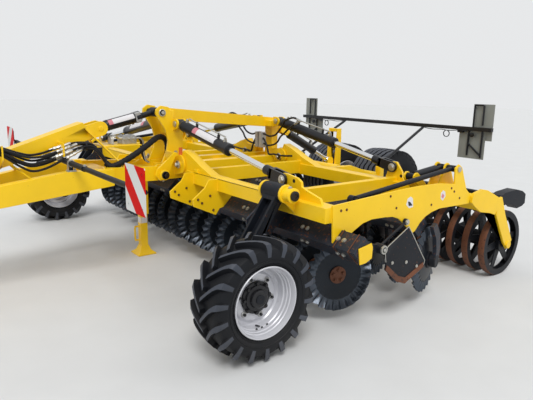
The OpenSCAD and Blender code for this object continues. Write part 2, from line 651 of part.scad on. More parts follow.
// Frame that carries the roller behind the wing, on a square tube that lies along the legs
roller_tube = [-2490, 674];
tube_side = 100;
tube_turn = 24;
module roller_tube_y(y, side) translate([roller_tube[0], y[0], roller_tube[1]]) rotate([0, tube_turn, 0])
    translate([-side / 2, 0, -side / 2]) cube([side, y[1] - y[0], side]);
leg_outline = [[-2500, 600], [-2526, 732], [-2571, 744], [-2657, 575], [-2815, 325], [-2745, 253], [-2680, 320]];
arm_outline = [[-2110, 745], [-2110, 790], [-2130, 822], [-2242, 843], [-2334, 825], [-2520, 745], [-2550, 700],
    [-2480, 600], [-2400, 625], [-2250, 652], [-2170, 700]];
module roller_frame() {
    roller_tube_y([roller_in - leg_t, roller_out + leg_t], tube_side);
    plate_y(arm_outline, roller_out, leg_t);
    for (y = [roller_in - leg_t, roller_out]) plate_y(leg_outline, y, leg_t);
    plate_y([[-2000 - gap, beam_z0], [-2000 - gap, beam_top_z], [-2060, beam_top_z], [-2460, 760], [-2500, 620],
        [-2400, 640]], 915, 30);
    bar_y(70, [roller_in - leg_t - 10, roller_in - leg_t], roller_x, roller_z);
    bar_y(70, [roller_out + leg_t, roller_out + leg_t + 12], roller_x, roller_z);
}
module ring() rotate([90, 0, 0]) rotate_extrude($fn = 72) polygon([
    [ring_d / 2, -ring_w / 2], [ring_d / 2, ring_w / 2], [ring_d / 2 - 60, ring_w / 2],
    [ring_d / 2 - 60, ring_w / 2 - 8], [ring_d / 2 - 8, ring_w / 2 - 8], [ring_d / 2 - 8, -ring_w / 2 + 8],
    [ring_d / 2 - 60, -ring_w / 2 + 8], [ring_d / 2 - 60, -ring_w / 2]]);
module roller() translate([roller_x, 0, roller_z]) {
    bar_y(140, [roller_in + 10, roller_out - 10], 0, 0);
    for (s = [roller_in + gap, roller_out - 10 - gap]) bar_y(60, [s, s + 10], 0, 0);
    for (i = [0 : ring_count - 1]) translate([0, ring_y0 + i * ring_pitch, 0]) {
        ring();
        for (a = [0 : 60 : 179]) rotate([0, a, 0]) translate([-ring_d / 2 + 4, -6, -25])
            cube([ring_d - 8, 12, 50]);
    }
}
fender_outline = [[-2570, 740], [-2662, 765], [-2845, 777], [-2957, 752], [-3019, 718], [-3021, 634],
    [-2973, 612], [-2888, 600], [-2825, 639], [-2718, 661], [-2637, 653]];
module scraper_bar() {
    box([-2650, -2590], [950, roller_out - 2], [690, 750]);
    difference() {
        for (y = [1000, 2100]) box([-2600, -2500], [y, y + 40], [700, 730]);
        roller_tube_y([990, 2150], tube_side + 2 * gap);
    }
    plate_y(fender_outline, roller_out - 2 - 90, 90);
}
module depth_links() {
    rod_y = 2142;
    cylinder_y = 2050;
    lug_faces = [2015 + gap, 2085 - gap];
    rod([depth_rod_pin[0], rod_y, depth_rod_pin[1]], [depth_pin[0], rod_y, depth_pin[1]], 36);
    bar_y(56, [rod_y - 22, rod_y + 22], depth_rod_pin[0], depth_rod_pin[1]);
    bar_y(30, [rod_y, side_plate_y - side_plate_t - gap], depth_rod_pin[0], depth_rod_pin[1]);
    bar_y(50, [2100 + gap, side_plate_y - side_plate_t - gap], depth_pin[0], depth_pin[1]);
    for (p = [depth_pin, depth_base]) bar_y(50, lug_faces, p[0], p[1]);
    rod([depth_base[0], cylinder_y, depth_base[1]], [depth_pin[0], cylinder_y, depth_pin[1]], 34);
    along = (depth_pin - depth_base) / norm(depth_pin - depth_base);
    a = depth_base + 40 * along;
    b = depth_base + 290 * along;
    rod([a[0], cylinder_y, a[1]], [b[0], cylinder_y, b[1]], 62);
}
// Side deflector of the front discs, on an arm from the end of their beam and a stay from the side plate
deflector_outline = [[-977, 578], [-995, 492], [-991, 437], [-1115, 332], [-1204, 298], [-1408, 382],
    [-1425, 424], [-1370, 494], [-1262, 643], [-1211, 707], [-1014, 606]];
deflector_y = 2300;
deflector_hub = [-946, 591];
module deflector() {
    plate_y(deflector_outline, deflector_y, 8);
    strut_y(deflector_hub, [-1000, 560], 60, [deflector_y - 30, deflector_y + 0.1]);
    bar_y(70, [deflector_y - 40, deflector_y + 20], deflector_hub[0], deflector_hub[1]);
    difference() {
        strut_y([-700, 640], deflector_hub, 50, [deflector_y - 40, deflector_y - 10]);
        diamond(gang_front_x, [30, gang_end], gang_side + 2 * gap);
        strut_y([-700, 640], [-560, 640], 400, [deflector_y - 60, deflector_y + 60]);
    }
    rod([deflector_hub[0], deflector_y - 25, deflector_hub[1]], [-1300, 2212, 705], 18);
    bar_y(46, [side_plate_y + gap, 2222], -1300, 705);
}

module at_fold(x) translate([x, fold_base[0], fold_base[1]]) rotate([fold_dir, 0, 0]) rotate([-90, 0, 0]) children();
module fold_barrels() for (x = [hinge_front_x, hinge_rear_x]) at_fold(x) difference() {
    union() {
        translate([-28, 0, 0]) rotate([0, 90, 0]) cylinder(d = 84, h = 56);
        translate([0, 0, 30]) cylinder(d = 54, h = 40);
        translate([0, 0, 58]) cylinder(d = fold_barrel_d, h = fold_barrel_end - 58);
    }
    translate([-60, 0, 0]) rotate([0, 90, 0]) cylinder(d = fold_pin_d + 2 * fit, h = 120);
    translate([0, 0, 120]) cylinder(d = fold_rod_d + 2 * fit, h = 900);
}
module fold_rods() for (x = [hinge_front_x, hinge_rear_x]) at_fold(x) {
    cheek_x = fold_lug_t / 2 + lug_gap;
    translate([0, 0, fold_rod_tail]) cylinder(d = fold_rod_d, h = fold_len - fold_rod_tail - 140);
    translate([0, 0, fold_len - 190]) cylinder(d = 74, h = 45);
    translate([-cheek_x - fold_cheek_t, -37, fold_len - 150])
        cube([2 * (cheek_x + fold_cheek_t), 74, 30]);
    for (s = [-1, 1]) translate([s * (cheek_x + fold_cheek_t / 2) - fold_cheek_t / 2, 0, fold_len]) {
        rotate([0, 90, 0]) cylinder(d = 84, h = fold_cheek_t);
        translate([0, -37, -130]) cube([fold_cheek_t, 74, 130]);
    }
    for (s = [-1, 1]) translate([s * (cheek_x + fold_cheek_t + 4) - 4, 0, fold_len]) rotate([0, 90, 0])
        cylinder(d = 56, h = 8);
}

centre_frame();
tower();
jack();
drawbar();
hitch_eye();
top_link_barrel();
top_link_rod();
sign_bar();
sign_boards();
transport_frame();
color(rubber) at_datum() transport_tyre();  // transport_tyre_left
color(rubber) at_datum() right() transport_tyre();  // transport_tyre_right
color(silver) at_datum() transport_rim();  // transport_rim_left
color(silver) at_datum() right() transport_rim();  // transport_rim_right
lift_barrel();
lift_rod();
light_bar();
light_boards();
valve_block();
hose_bundle();
color(yellow) at_datum() wing_frame();  // wing_frame_left
color(yellow) at_datum() right() wing_frame();  // wing_frame_right
color(dark) at_datum() disc_beams();  // disc_beams_left
color(dark) at_datum() right() disc_beams();  // disc_beams_right
color(dark) at_datum() discs();  // discs_left
color(dark) at_datum() right() discs();  // discs_right
color(dark) at_datum() gauge_arm();  // gauge_arm_left
color(dark) at_datum() right() gauge_arm();  // gauge_arm_right
color(rubber) at_datum() gauge_tyre();  // gauge_tyre_left
color(rubber) at_datum() right() gauge_tyre();  // gauge_tyre_right
color(silver) at_datum() gauge_rim();  // gauge_rim_left
color(silver) at_datum() right() gauge_rim();  // gauge_rim_right
color(yellow) at_datum() roller_frame();  // roller_frame_left
color(yellow) at_datum() right() roller_frame();  // roller_frame_right
color(rust) at_datum() roller();  // roller_left
color(rust) at_datum() right() roller();  // roller_right
color(dark) at_datum() scraper_bar();  // scraper_bar_left
color(dark) at_datum() right() scraper_bar();  // scraper_bar_right
color(dark) at_datum() depth_links();  // depth_links_left
color(dark) at_datum() right() depth_links();  // depth_links_right
color(dark) at_datum() deflector();  // deflector_left
color(dark) at_datum() right() deflector();  // deflector_right
color(dark) at_datum() fold_barrels();  // fold_barrels_left
color(dark) at_datum() right() fold_barrels();  // fold_barrels_right
color(chrome) at_datum() fold_rods();  // fold_rods_left
color(chrome) at_datum() right() fold_rods();  // fold_rods_right
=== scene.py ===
# Trailed short disc harrow with folding wings, dressed over its solid model.
# X points forward, Y to the machine's left and Z up, in metres.
# Shapes are worked out with X counted from a line 3.22 m ahead of the transport axle, as in the solid
# model's source, and Pile.make() puts them in the model's frame.

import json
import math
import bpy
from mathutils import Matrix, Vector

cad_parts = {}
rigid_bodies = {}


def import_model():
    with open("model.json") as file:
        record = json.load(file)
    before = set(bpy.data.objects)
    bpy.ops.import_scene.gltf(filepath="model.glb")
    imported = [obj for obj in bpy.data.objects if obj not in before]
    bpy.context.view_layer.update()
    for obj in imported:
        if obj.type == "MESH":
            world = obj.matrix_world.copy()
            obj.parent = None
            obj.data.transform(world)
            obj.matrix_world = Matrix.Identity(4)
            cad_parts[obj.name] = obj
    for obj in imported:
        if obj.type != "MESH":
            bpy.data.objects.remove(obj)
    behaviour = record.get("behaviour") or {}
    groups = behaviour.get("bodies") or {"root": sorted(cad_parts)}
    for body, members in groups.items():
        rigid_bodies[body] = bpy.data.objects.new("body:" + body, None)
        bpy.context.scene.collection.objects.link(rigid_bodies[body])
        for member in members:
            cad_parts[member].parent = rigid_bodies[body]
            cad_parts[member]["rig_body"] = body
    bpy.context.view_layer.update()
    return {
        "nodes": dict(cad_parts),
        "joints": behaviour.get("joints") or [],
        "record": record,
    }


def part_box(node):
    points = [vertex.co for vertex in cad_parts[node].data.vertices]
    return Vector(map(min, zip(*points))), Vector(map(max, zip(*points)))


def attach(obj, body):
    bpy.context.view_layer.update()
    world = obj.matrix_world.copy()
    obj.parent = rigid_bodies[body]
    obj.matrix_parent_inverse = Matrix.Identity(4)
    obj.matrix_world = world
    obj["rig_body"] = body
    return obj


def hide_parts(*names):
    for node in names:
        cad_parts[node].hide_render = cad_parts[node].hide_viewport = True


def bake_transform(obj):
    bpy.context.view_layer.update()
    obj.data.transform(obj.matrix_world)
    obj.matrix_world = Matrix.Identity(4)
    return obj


bl_info = {
    "name": "Disc harrow dresser",
    "version": (1, 0, 0),
    "blender": (4, 5, 0),
    "location": "3D View > Sidebar > Harrow",
    "description": "Builds the discs, tyres, rollers, hydraulics and finishes of a trailed disc harrow",
    "category": "Object",
}

import bmesh
import bpy
import numpy as np
from bpy.props import FloatProperty, FloatVectorProperty, IntProperty, PointerProperty
from bpy.types import Operator, Panel, PropertyGroup
from mathutils import Matrix, Vector

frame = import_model()
JOINTS = {j["name"]: j for j in frame["joints"]}
DATUM = JOINTS["transport_wheel_left"]["pos_m"][0] + 3.22
SIDES = ((1, "left"), (-1, "right"))


def joint_place(name):
    """A joint's place, with X counted from the datum line."""
    return np.array(JOINTS[name]["pos_m"]) - (DATUM, 0, 0)


GAUGE = joint_place("gauge_wheel_left")
CARRIER = joint_place("transport_wheel_left")
ROLLER = joint_place("roller_left")
FOLD_BASE = joint_place("fold_turn_left")[1:]
FOLD_EYE = joint_place("fold_stroke_left")[1:]
FOLD_X = (-0.6, -1.75)
LINK_ARM = joint_place("top_link_turn")
LINK_TOWER = joint_place("top_link_stroke")
LIFT_BASE = joint_place("lift_turn")
LIFT_EYE = joint_place("lift_stroke")


def spot(node):
    """Lowest and highest corner of a solid, with X counted from the datum line."""
    low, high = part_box(node)
    return np.array(low) - (DATUM, 0, 0), np.array(high) - (DATUM, 0, 0)


class HarrowSizes(PropertyGroup):
    """Sizes that the dressing pieces take."""

    disc_diameter: FloatProperty(name="Disc diameter", description="Over the scallops", default=0.52,
        unit="LENGTH")
    disc_flutes: IntProperty(name="Flutes", description="Flutes round a disc's rim", default=26, min=6)
    disc_dish: FloatProperty(name="Dish", description="Depth of a disc's hollow", default=0.034,
        unit="LENGTH")
    lug_count: IntProperty(name="Lugs", description="Bars on each half of a gauge tyre", default=18, min=8)
    hose_diameter: FloatProperty(name="Hose diameter", description="Outside of a hydraulic hose",
        default=0.019, unit="LENGTH")


class HarrowColours(PropertyGroup):
    """Colours of the finishes."""

    paint: FloatVectorProperty(name="Paint", description="Frame paint", subtype="COLOR", size=3,
        default=(0.93, 0.585, 0.003))
    steel: FloatVectorProperty(name="Dark steel", description="Painted working parts", subtype="COLOR",
        size=3, default=(0.007, 0.009, 0.0135))
    rust: FloatVectorProperty(name="Rust", description="Bare steel that worked in soil", subtype="COLOR",
        size=3, default=(0.135, 0.045, 0.018))
    soil: FloatVectorProperty(name="Dust", description="Dry dust on low parts", subtype="COLOR", size=3,
        default=(0.18, 0.15, 0.115))
    rubber: FloatVectorProperty(name="Rubber", description="Tyres", subtype="COLOR", size=3,
        default=(0.006, 0.007, 0.0095))
    rim: FloatVectorProperty(name="Rim", description="Wheel rims", subtype="COLOR", size=3,
        default=(0.6, 0.6, 0.63))


# Surfaces

def grid(points, loop_u=False):
    """Points P[u, v] and the quads between neighbours, closed along v, and along u where asked."""
    nu, nv = points.shape[:2]
    u, v = np.meshgrid(np.arange(nu if loop_u else nu - 1), np.arange(nv), indexing="ij")
    un, vn = (u + 1) % nu, (v + 1) % nv
    quads = np.stack([u * nv + v, un * nv + v, un * nv + vn, u * nv + vn], -1).reshape(-1, 4)
    return points.reshape(-1, 3), [tuple(q) for q in quads.tolist()]


def capped(points):
    """A grid that closes along v, with a flat face on each end of u."""
    verts, faces = grid(points)
    nu, nv = points.shape[:2]
    faces.append(tuple(range(nv)))
    faces.append(tuple(range((nu - 1) * nv, nu * nv)))
    return verts, faces


def turned(profile, steps, wave=None):
    """Closed profile of (radius, place along Y) turned round the Y axis.

    A point at the angle a stands at x = r sin a, y = h, z = r cos a.
    """
    r, h = np.array(profile, float).T
    a = np.linspace(0, 2 * np.pi, steps, endpoint=False)[:, None]
    r, h = r + 0 * a, h + 0 * a
    if wave is not None:
        r, h = wave(r, h, a)
    return grid(np.stack([r * np.sin(a), h, r * np.cos(a)], -1), True)


def smoothed(points, steps):
    """Catmull-Rom curve through the points: each stretch is a cubic of its four nearest points."""
    p = np.array(points, float)
    p = np.vstack([2 * p[0] - p[1], p, 2 * p[-1] - p[-2]])
    t = np.linspace(0, 1, steps, endpoint=False)[None, :, None]
    a, b, c, d = (p[i:len(p) - 3 + i][:, None] for i in range(4))
    curve = 0.5 * (2 * b + (c - a) * t + (2 * a - 5 * b + 4 * c - d) * t**2
        + (3 * b - a - 3 * c + d) * t**3)
    return np.vstack([curve.reshape(-1, 3), p[-2]])


def frames(path):
    """Side and up directions along a path, turned from each point to the next with no twist."""
    path = np.array(path, float)
    t = np.gradient(path, axis=0)
    t /= np.linalg.norm(t, axis=1)[:, None]
    side = np.cross(t[0], (0, 0, 1) if abs(t[0, 2]) < 0.9 else (1, 0, 0))
    sides = [side / np.linalg.norm(side)]
    for step in t[1:]:
        side = sides[-1] - step * (sides[-1] @ step)
        sides.append(side / np.linalg.norm(side))
    sides = np.array(sides)
    return sides, np.cross(sides, t)


def pipe(path, radius, sides):
    """Round section carried along a path, with flat ends. The radius can change along the path."""
    path = np.array(path, float)
    s, n = frames(path)
    a = np.linspace(0, 2 * np.pi, sides, endpoint=False)
    radius = np.broadcast_to(radius, len(path))[:, None, None]
    ring = s[:, None] * np.cos(a)[None, :, None] + n[:, None] * np.sin(a)[None, :, None]
    return capped(path[:, None] + radius * ring)


def plate(outline, thickness, origin, u=(1, 0, 0), v=(0, 0, 1)):
    """Flat outline of (u, v) points with a thickness along u x v, centred on the origin's plane."""
    u, v = np.array(u, float), np.array(v, float)
    w = np.cross(u, v)
    w /= np.linalg.norm(w)
    flat = np.array(outline, float)
    base = np.array(origin, float) + flat[:, :1] * u + flat[:, 1:] * v
    return capped(np.stack([base - w * thickness / 2, base + w * thickness / 2]))


def block(low, high):
    """Box between two corners."""
    x, y, z = zip(low, high)
    base = np.array([[x[0], y[0]], [x[1], y[0]], [x[1], y[1]], [x[0], y[1]]])
    return capped(np.stack([np.column_stack([base, [level] * 4]) for level in z]))


def axes(a, b):
    """Start of a bar from a to b, its direction, and the two directions across it."""
    a, b = np.array(a, float), np.array(b, float)
    d = (b - a) / np.linalg.norm(b - a)
    side = np.cross(d, (0, 0, 1) if abs(d[2]) < 0.9 else (1, 0, 0))
    side /= np.linalg.norm(side)
    return a, d, side, np.cross(side, d)


def stack(a, b, steps, sides=24):
    """Round bar from a towards b whose radius follows (distance from a, radius) steps."""
    a, d, side, up = axes(a, b)
    h, r = np.array(steps, float).T
    t = np.linspace(0, 2 * np.pi, sides, endpoint=False)
    ring = side * np.cos(t)[:, None] + up * np.sin(t)[:, None]
    return capped(a + h[:, None, None] * d + r[:, None, None] * ring)


def solid(a, b, steps, sides):
    """Round bar as in stack(), whose ends close to points on its axis."""
    return stack(a, b, [(steps[0][0], 0), *steps, (steps[-1][0], 0)], sides)


def button(a, b, radius, height, rim, sides):
    """Round head from a towards b, its rim cut by (height, width)."""
    cut, narrow = rim
    return solid(a, b, [(0, radius), (height - cut, radius), (height, radius - narrow)], sides)


def hose(points, radius, sides, steps):
    """Round pipe along the smooth curve through the points."""
    return pipe(smoothed(points, steps), radius, sides)


def spread(shape, moves):
    """Copies of a shape, each moved by one 3x4 matrix of turn and place."""
    verts, faces = shape
    moves = np.array(moves, float)
    copies = np.einsum("kij,nj->kni", moves[:, :, :3], verts) + moves[:, None, :, 3]
    n = len(verts)
    return copies.reshape(-1, 3), [tuple(i + k * n for i in f) for k in range(len(moves)) for f in faces]


def around_y(angles, centre):
    """Moves that turn a shape round the Y axis by each angle, then set it on a centre."""
    a = np.array(angles, float)
    c, s, zero, one = np.cos(a), np.sin(a), 0 * a, 0 * a + 1
    m = np.stack([c, zero, s, zero, one, zero, -s, zero, c], -1).reshape(-1, 3, 3)
    return np.concatenate([m, np.broadcast_to(np.array(centre, float)[None, :, None], (len(a), 3, 1))], 2)


def circle(radius, place, degrees):
    """Points round the Y axis, at a radius and a place along it."""
    a = np.radians(degrees)
    return np.stack([radius * np.sin(a), 0 * a + place, radius * np.cos(a)], -1)


def bolt(size, length=0.5, washer=0.25):
    """Hexagon head over a washer, standing on the XY plane along Z."""
    r = size / math.sqrt(3)
    a = np.radians(np.arange(0, 360, 60))
    hexagon = np.stack([np.cos(a), np.sin(a)], -1)
    levels = [(r * 0.98, size * washer), (r, size * washer + 0.0015), (r, size * length),
        (r * 0.86, size * (length + 0.1))]
    head = capped(np.array([[(x * k, y * k, z) for x, y in hexagon] for k, z in levels]))
    b = np.radians(np.arange(0, 360, 24))
    disc = capped(np.array([[(math.cos(t) * size * 0.82, math.sin(t) * size * 0.82, z) for t in b]
        for z in (0, size * washer)]))
    n = len(head[0])
    return np.vstack([head[0], disc[0]]), head[1] + [tuple(i + n for i in f) for f in disc[1]]


def standing(points, normal):
    """Moves that stand a shape on each point with its Z along the normal."""
    m = np.array(Vector(normal).normalized().to_track_quat("Z", "Y").to_matrix())
    points = np.array(points, float).reshape(-1, 3)
    return np.concatenate([np.broadcast_to(m, (len(points), 3, 3)), points[:, :, None]], 2)


def placed(name, mesh, angle, bevel, bevel_angle, clamp):
    """Object of a mesh, smooth below an angle, with the sharper edges eased by a bevel."""
    mesh.shade_smooth()
    mesh.set_sharp_from_angle(angle=math.radians(angle))
    obj = bpy.data.objects.new(name, mesh)
    bpy.context.scene.collection.objects.link(obj)
    if bevel:
        edge = obj.modifiers.new("Edges", "BEVEL")
        edge.width = bevel
        edge.segments = 2
        edge.limit_method = "ANGLE"
        edge.angle_limit = math.radians(bevel_angle)
        edge.use_clamp_overlap = clamp
        edge.harden_normals = True
    return obj


class Pile:
    """Collects the shapes of one piece, each with a finish, and makes them one mesh."""

    def __init__(self):
        self.verts, self.faces, self.marks, self.count = [], [], [], 0

    def add(self, shape, finish=0):
        """Adds a shape with one finish, or with a list of finishes that repeats over its faces."""
        verts, faces = shape
        self.verts.append(np.asarray(verts, float))
        self.faces += [tuple(i + self.count for i in f) for f in faces]
        self.marks += list(np.resize(finish, len(faces)))
        self.count += len(verts)
        return self

    def stand(self, shape, points, normal, finish):
        """Adds copies of a shape that stand on points along a normal."""
        return self.add(spread(shape, standing(points, normal)), finish)

    def shift(self, offset):
        """Moves all that has been added."""
        self.verts = [v + offset for v in self.verts]
        return self

    def flip(self):
        """Mirror image across the middle plane."""
        self.verts = [v * (1, -1, 1) for v in self.verts]
        self.faces = [f[::-1] for f in self.faces]
        return self

    def make(self, name, body, finishes, bevel=0.0, angle=38):
        """One object of all shapes, with finishes by name, smooth below an angle, eased by a bevel."""
        verts = np.vstack(self.verts) + (DATUM, 0, 0)
        mesh = bpy.data.meshes.new(name)
        mesh.from_pydata(verts, [], self.faces)
        mesh.polygons.foreach_set("material_index", self.marks)
        bm = bmesh.new()
        bm.from_mesh(mesh)
        bmesh.ops.recalc_face_normals(bm, faces=bm.faces)
        bm.to_mesh(mesh)
        bm.free()
        for key in finishes:
            mesh.materials.append(FINISH[key])
        obj = placed(name, mesh, angle, bevel, bevel_angle=angle, clamp=True)
        if body:
            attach(obj, body)
        return obj


def halves(build):
    """A left pile and its mirror image, each with its sign and side."""
    for sign, side in SIDES:
        pile = build(Pile())
        yield sign, side, pile if sign > 0 else pile.flip()


def both(build, name, body, finishes, replaces=None, **options):
    """Builds a left piece and its mirror image, each on its own body."""
    for _, side, pile in halves(build):
        obj = pile.make(f"{name}_{side}", body.format(side=side), finishes, **options)
        if replaces:
            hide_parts(f"{replaces}_{side}")


# Finishes

class Nodes:
    """Short way to set and link nodes in a tree."""

    def __init__(self, tree):
        self.tree = tree

    def new(self, kind, **values):
        node = self.tree.nodes.new(kind)
        for key, value in values.items():
            if hasattr(node, key):
                setattr(node, key, value)
            else:
                self.put(node.inputs[key.replace("_", " ")], value)
        return node

    def put(self, socket, value):
        """Links a socket to another one, or sets its value."""
        if hasattr(value, "links"):
            self.tree.links.new(value, socket)
        else:
            socket.default_value = value

    def math(self, operation, a, b=0.0, clamp=False):
        node = self.tree.nodes.new("ShaderNodeMath")
        node.operation, node.use_clamp = operation, clamp
        for socket, value in zip(node.inputs, (a, b)):
            self.put(socket, value)
        return node.outputs[0]

    def plus(self, a, b):
        return self.math("ADD", a, b)

    def times(self, a, b):
        return self.math("MULTIPLY", a, b)

    def span(self, value, low, high, to_low=0.0, to_high=1.0):
        node = self.tree.nodes.new("ShaderNodeMapRange")
        for key, v in zip(("Value", "From Min", "From Max", "To Min", "To Max"),
                (value, low, high, to_low, to_high)):
            self.put(node.inputs[key], v)
        return node.outputs[0]

    def mix(self, factor, a, b):
        node = self.tree.nodes.new("ShaderNodeMix")
        node.data_type = "RGBA"
        self.put(node.inputs[0], factor)
        self.put(node.inputs[6], a)
        self.put(node.inputs[7], b)
        return node.outputs[2]

    def noise(self, vector, scale, detail, rough=0.5):
        node = self.tree.nodes.new("ShaderNodeTexNoise")
        for key, v in zip(("Vector", "Scale", "Detail", "Roughness"), (vector, scale, detail, rough)):
            self.put(node.inputs[key], v)
        return node.outputs["Fac"]


def mask_group(name, inputs, outputs):
    """Node group of number sockets: its nodes, its inputs and outputs, and the place on the object."""
    tree = bpy.data.node_groups.new(name, "ShaderNodeTree")
    for way, names in (("INPUT", inputs), ("OUTPUT", outputs)):
        for label in names:
            tree.interface.new_socket(name=label, in_out=way, socket_type="NodeSocketFloat")
    given = tree.nodes.new("NodeGroupInput").outputs
    out = tree.nodes.new("NodeGroupOutput").inputs
    return Nodes(tree), given, out, tree.nodes.new("ShaderNodeTexCoord").outputs["Object"]


def weather_group():
    """Dust that thickens towards the ground and on upward faces, chips, tone and grain, as masks."""
    n, given, out, place = mask_group("Weather", ("Dust", "Dust height", "Chips", "Grain"),
        ("Dust", "Chips", "Tone", "Height"))
    normal = n.tree.nodes.new("ShaderNodeNewGeometry").outputs["Normal"]
    low = n.new("ShaderNodeSeparateXYZ", Vector=place).outputs["Z"]
    up = n.new("ShaderNodeSeparateXYZ", Vector=normal).outputs["Z"]
    broad = n.noise(place, 2.3, 5.0, 0.6)
    fine = n.noise(place, 19.0, 8.0, 0.65)
    near = n.span(low, given["Dust height"], 0.0)
    lying = n.times(n.span(up, 0.35, 1.0), 0.45)
    settled = n.plus(near, lying)
    mottle = n.span(n.plus(n.times(broad, 0.55), n.times(fine, 0.45)), 0.32, 0.68)
    dust = n.math("MULTIPLY", n.times(settled, mottle), given["Dust"], clamp=True)
    spots = n.noise(place, 46.0, 6.0, 0.7)
    edge = n.math("SUBTRACT", 0.76, n.times(given["Chips"], 0.2))
    chips = n.span(n.plus(spots, n.times(broad, 0.12)), edge, n.plus(edge, 0.03))
    grain = n.noise(place, given["Grain"], 3.0, 0.6)
    n.put(out["Dust"], dust)
    n.put(out["Chips"], chips)
    n.put(out["Tone"], broad)
    n.put(out["Height"], n.plus(grain, n.times(fine, 0.6)))
    return n.tree


def stripes_group():
    """Slanting bands across the YZ plane: 1 on a band and 0 between, over the height and the side."""
    n, given, out, place = mask_group("Slanting bands", ("Pitch", "Slant", "Start"), ("Band",))
    parts = n.new("ShaderNodeSeparateXYZ", Vector=place)
    across = n.times(n.math("ABSOLUTE", parts.outputs["Y"]), given["Slant"])
    run = n.math("DIVIDE", n.plus(n.plus(across, parts.outputs["Z"]), given["Start"]), given["Pitch"])
    n.put(out["Band"], n.span(n.math("FRACT", run), 0.49, 0.51))
    return n.tree


GROUPS = {}


def rgb(colour):
    """Opaque colour for a node's socket."""
    return (*colour, 1.0)


def finish(name, colour, chip_colour, rough, metal, dust, height, chips, grain, bump, tone, shine, coat,
        banding):
    """Material of one finish: a toned colour, chips down to a second colour, and dust over both."""
    m = bpy.data.materials.new(name)
    m.use_nodes = True
    n = Nodes(m.node_tree)
    shader = m.node_tree.nodes["Principled BSDF"]
    soil = rgb(bpy.context.scene.harrow_colours.soil)
    w = n.new("ShaderNodeGroup", node_tree=GROUPS["weather"])
    for key, value in (("Dust", dust), ("Dust height", height), ("Chips", chips), ("Grain", grain)):
        w.inputs[key].default_value = value
    base = rgb(colour)
    if banding:
        band = n.new("ShaderNodeGroup", node_tree=GROUPS["stripes"])
        for key, value in zip(("Pitch", "Slant", "Start"), banding[1:]):
            band.inputs[key].default_value = value
        base = n.mix(band.outputs["Band"], rgb(colour), rgb(banding[0]))
    shade = m.node_tree.nodes.new("ShaderNodeHueSaturation")
    n.put(shade.inputs["Value"], n.span(w.outputs["Tone"], 0.3, 0.7, 1.0 - tone, 1.0 + tone))
    n.put(shade.inputs["Color"], base)
    worn = n.mix(w.outputs["Chips"], shade.outputs[0], rgb(chip_colour or [c * 0.35 for c in colour]))
    n.put(shader.inputs["Base Color"], n.mix(w.outputs["Dust"], worn, soil))
    n.put(shader.inputs["Roughness"], n.plus(n.times(w.outputs["Dust"], 0.4),
        n.span(w.outputs["Tone"], 0.3, 0.7, rough - 0.05, rough + 0.08)))
    if metal:
        n.put(shader.inputs["Metallic"], n.math("SUBTRACT", metal, w.outputs["Dust"], clamp=True))
    shader.inputs["Coat Weight"].default_value = coat
    shader.inputs["Specular IOR Level"].default_value = shine
    shader.inputs["Coat Roughness"].default_value = 0.25
    lift = n.new("ShaderNodeBump", Strength=bump, Distance=0.002)
    n.put(lift.inputs["Height"], w.outputs["Height"])
    n.put(shader.inputs["Normal"], lift.outputs[0])
    return m


FINISH = {}


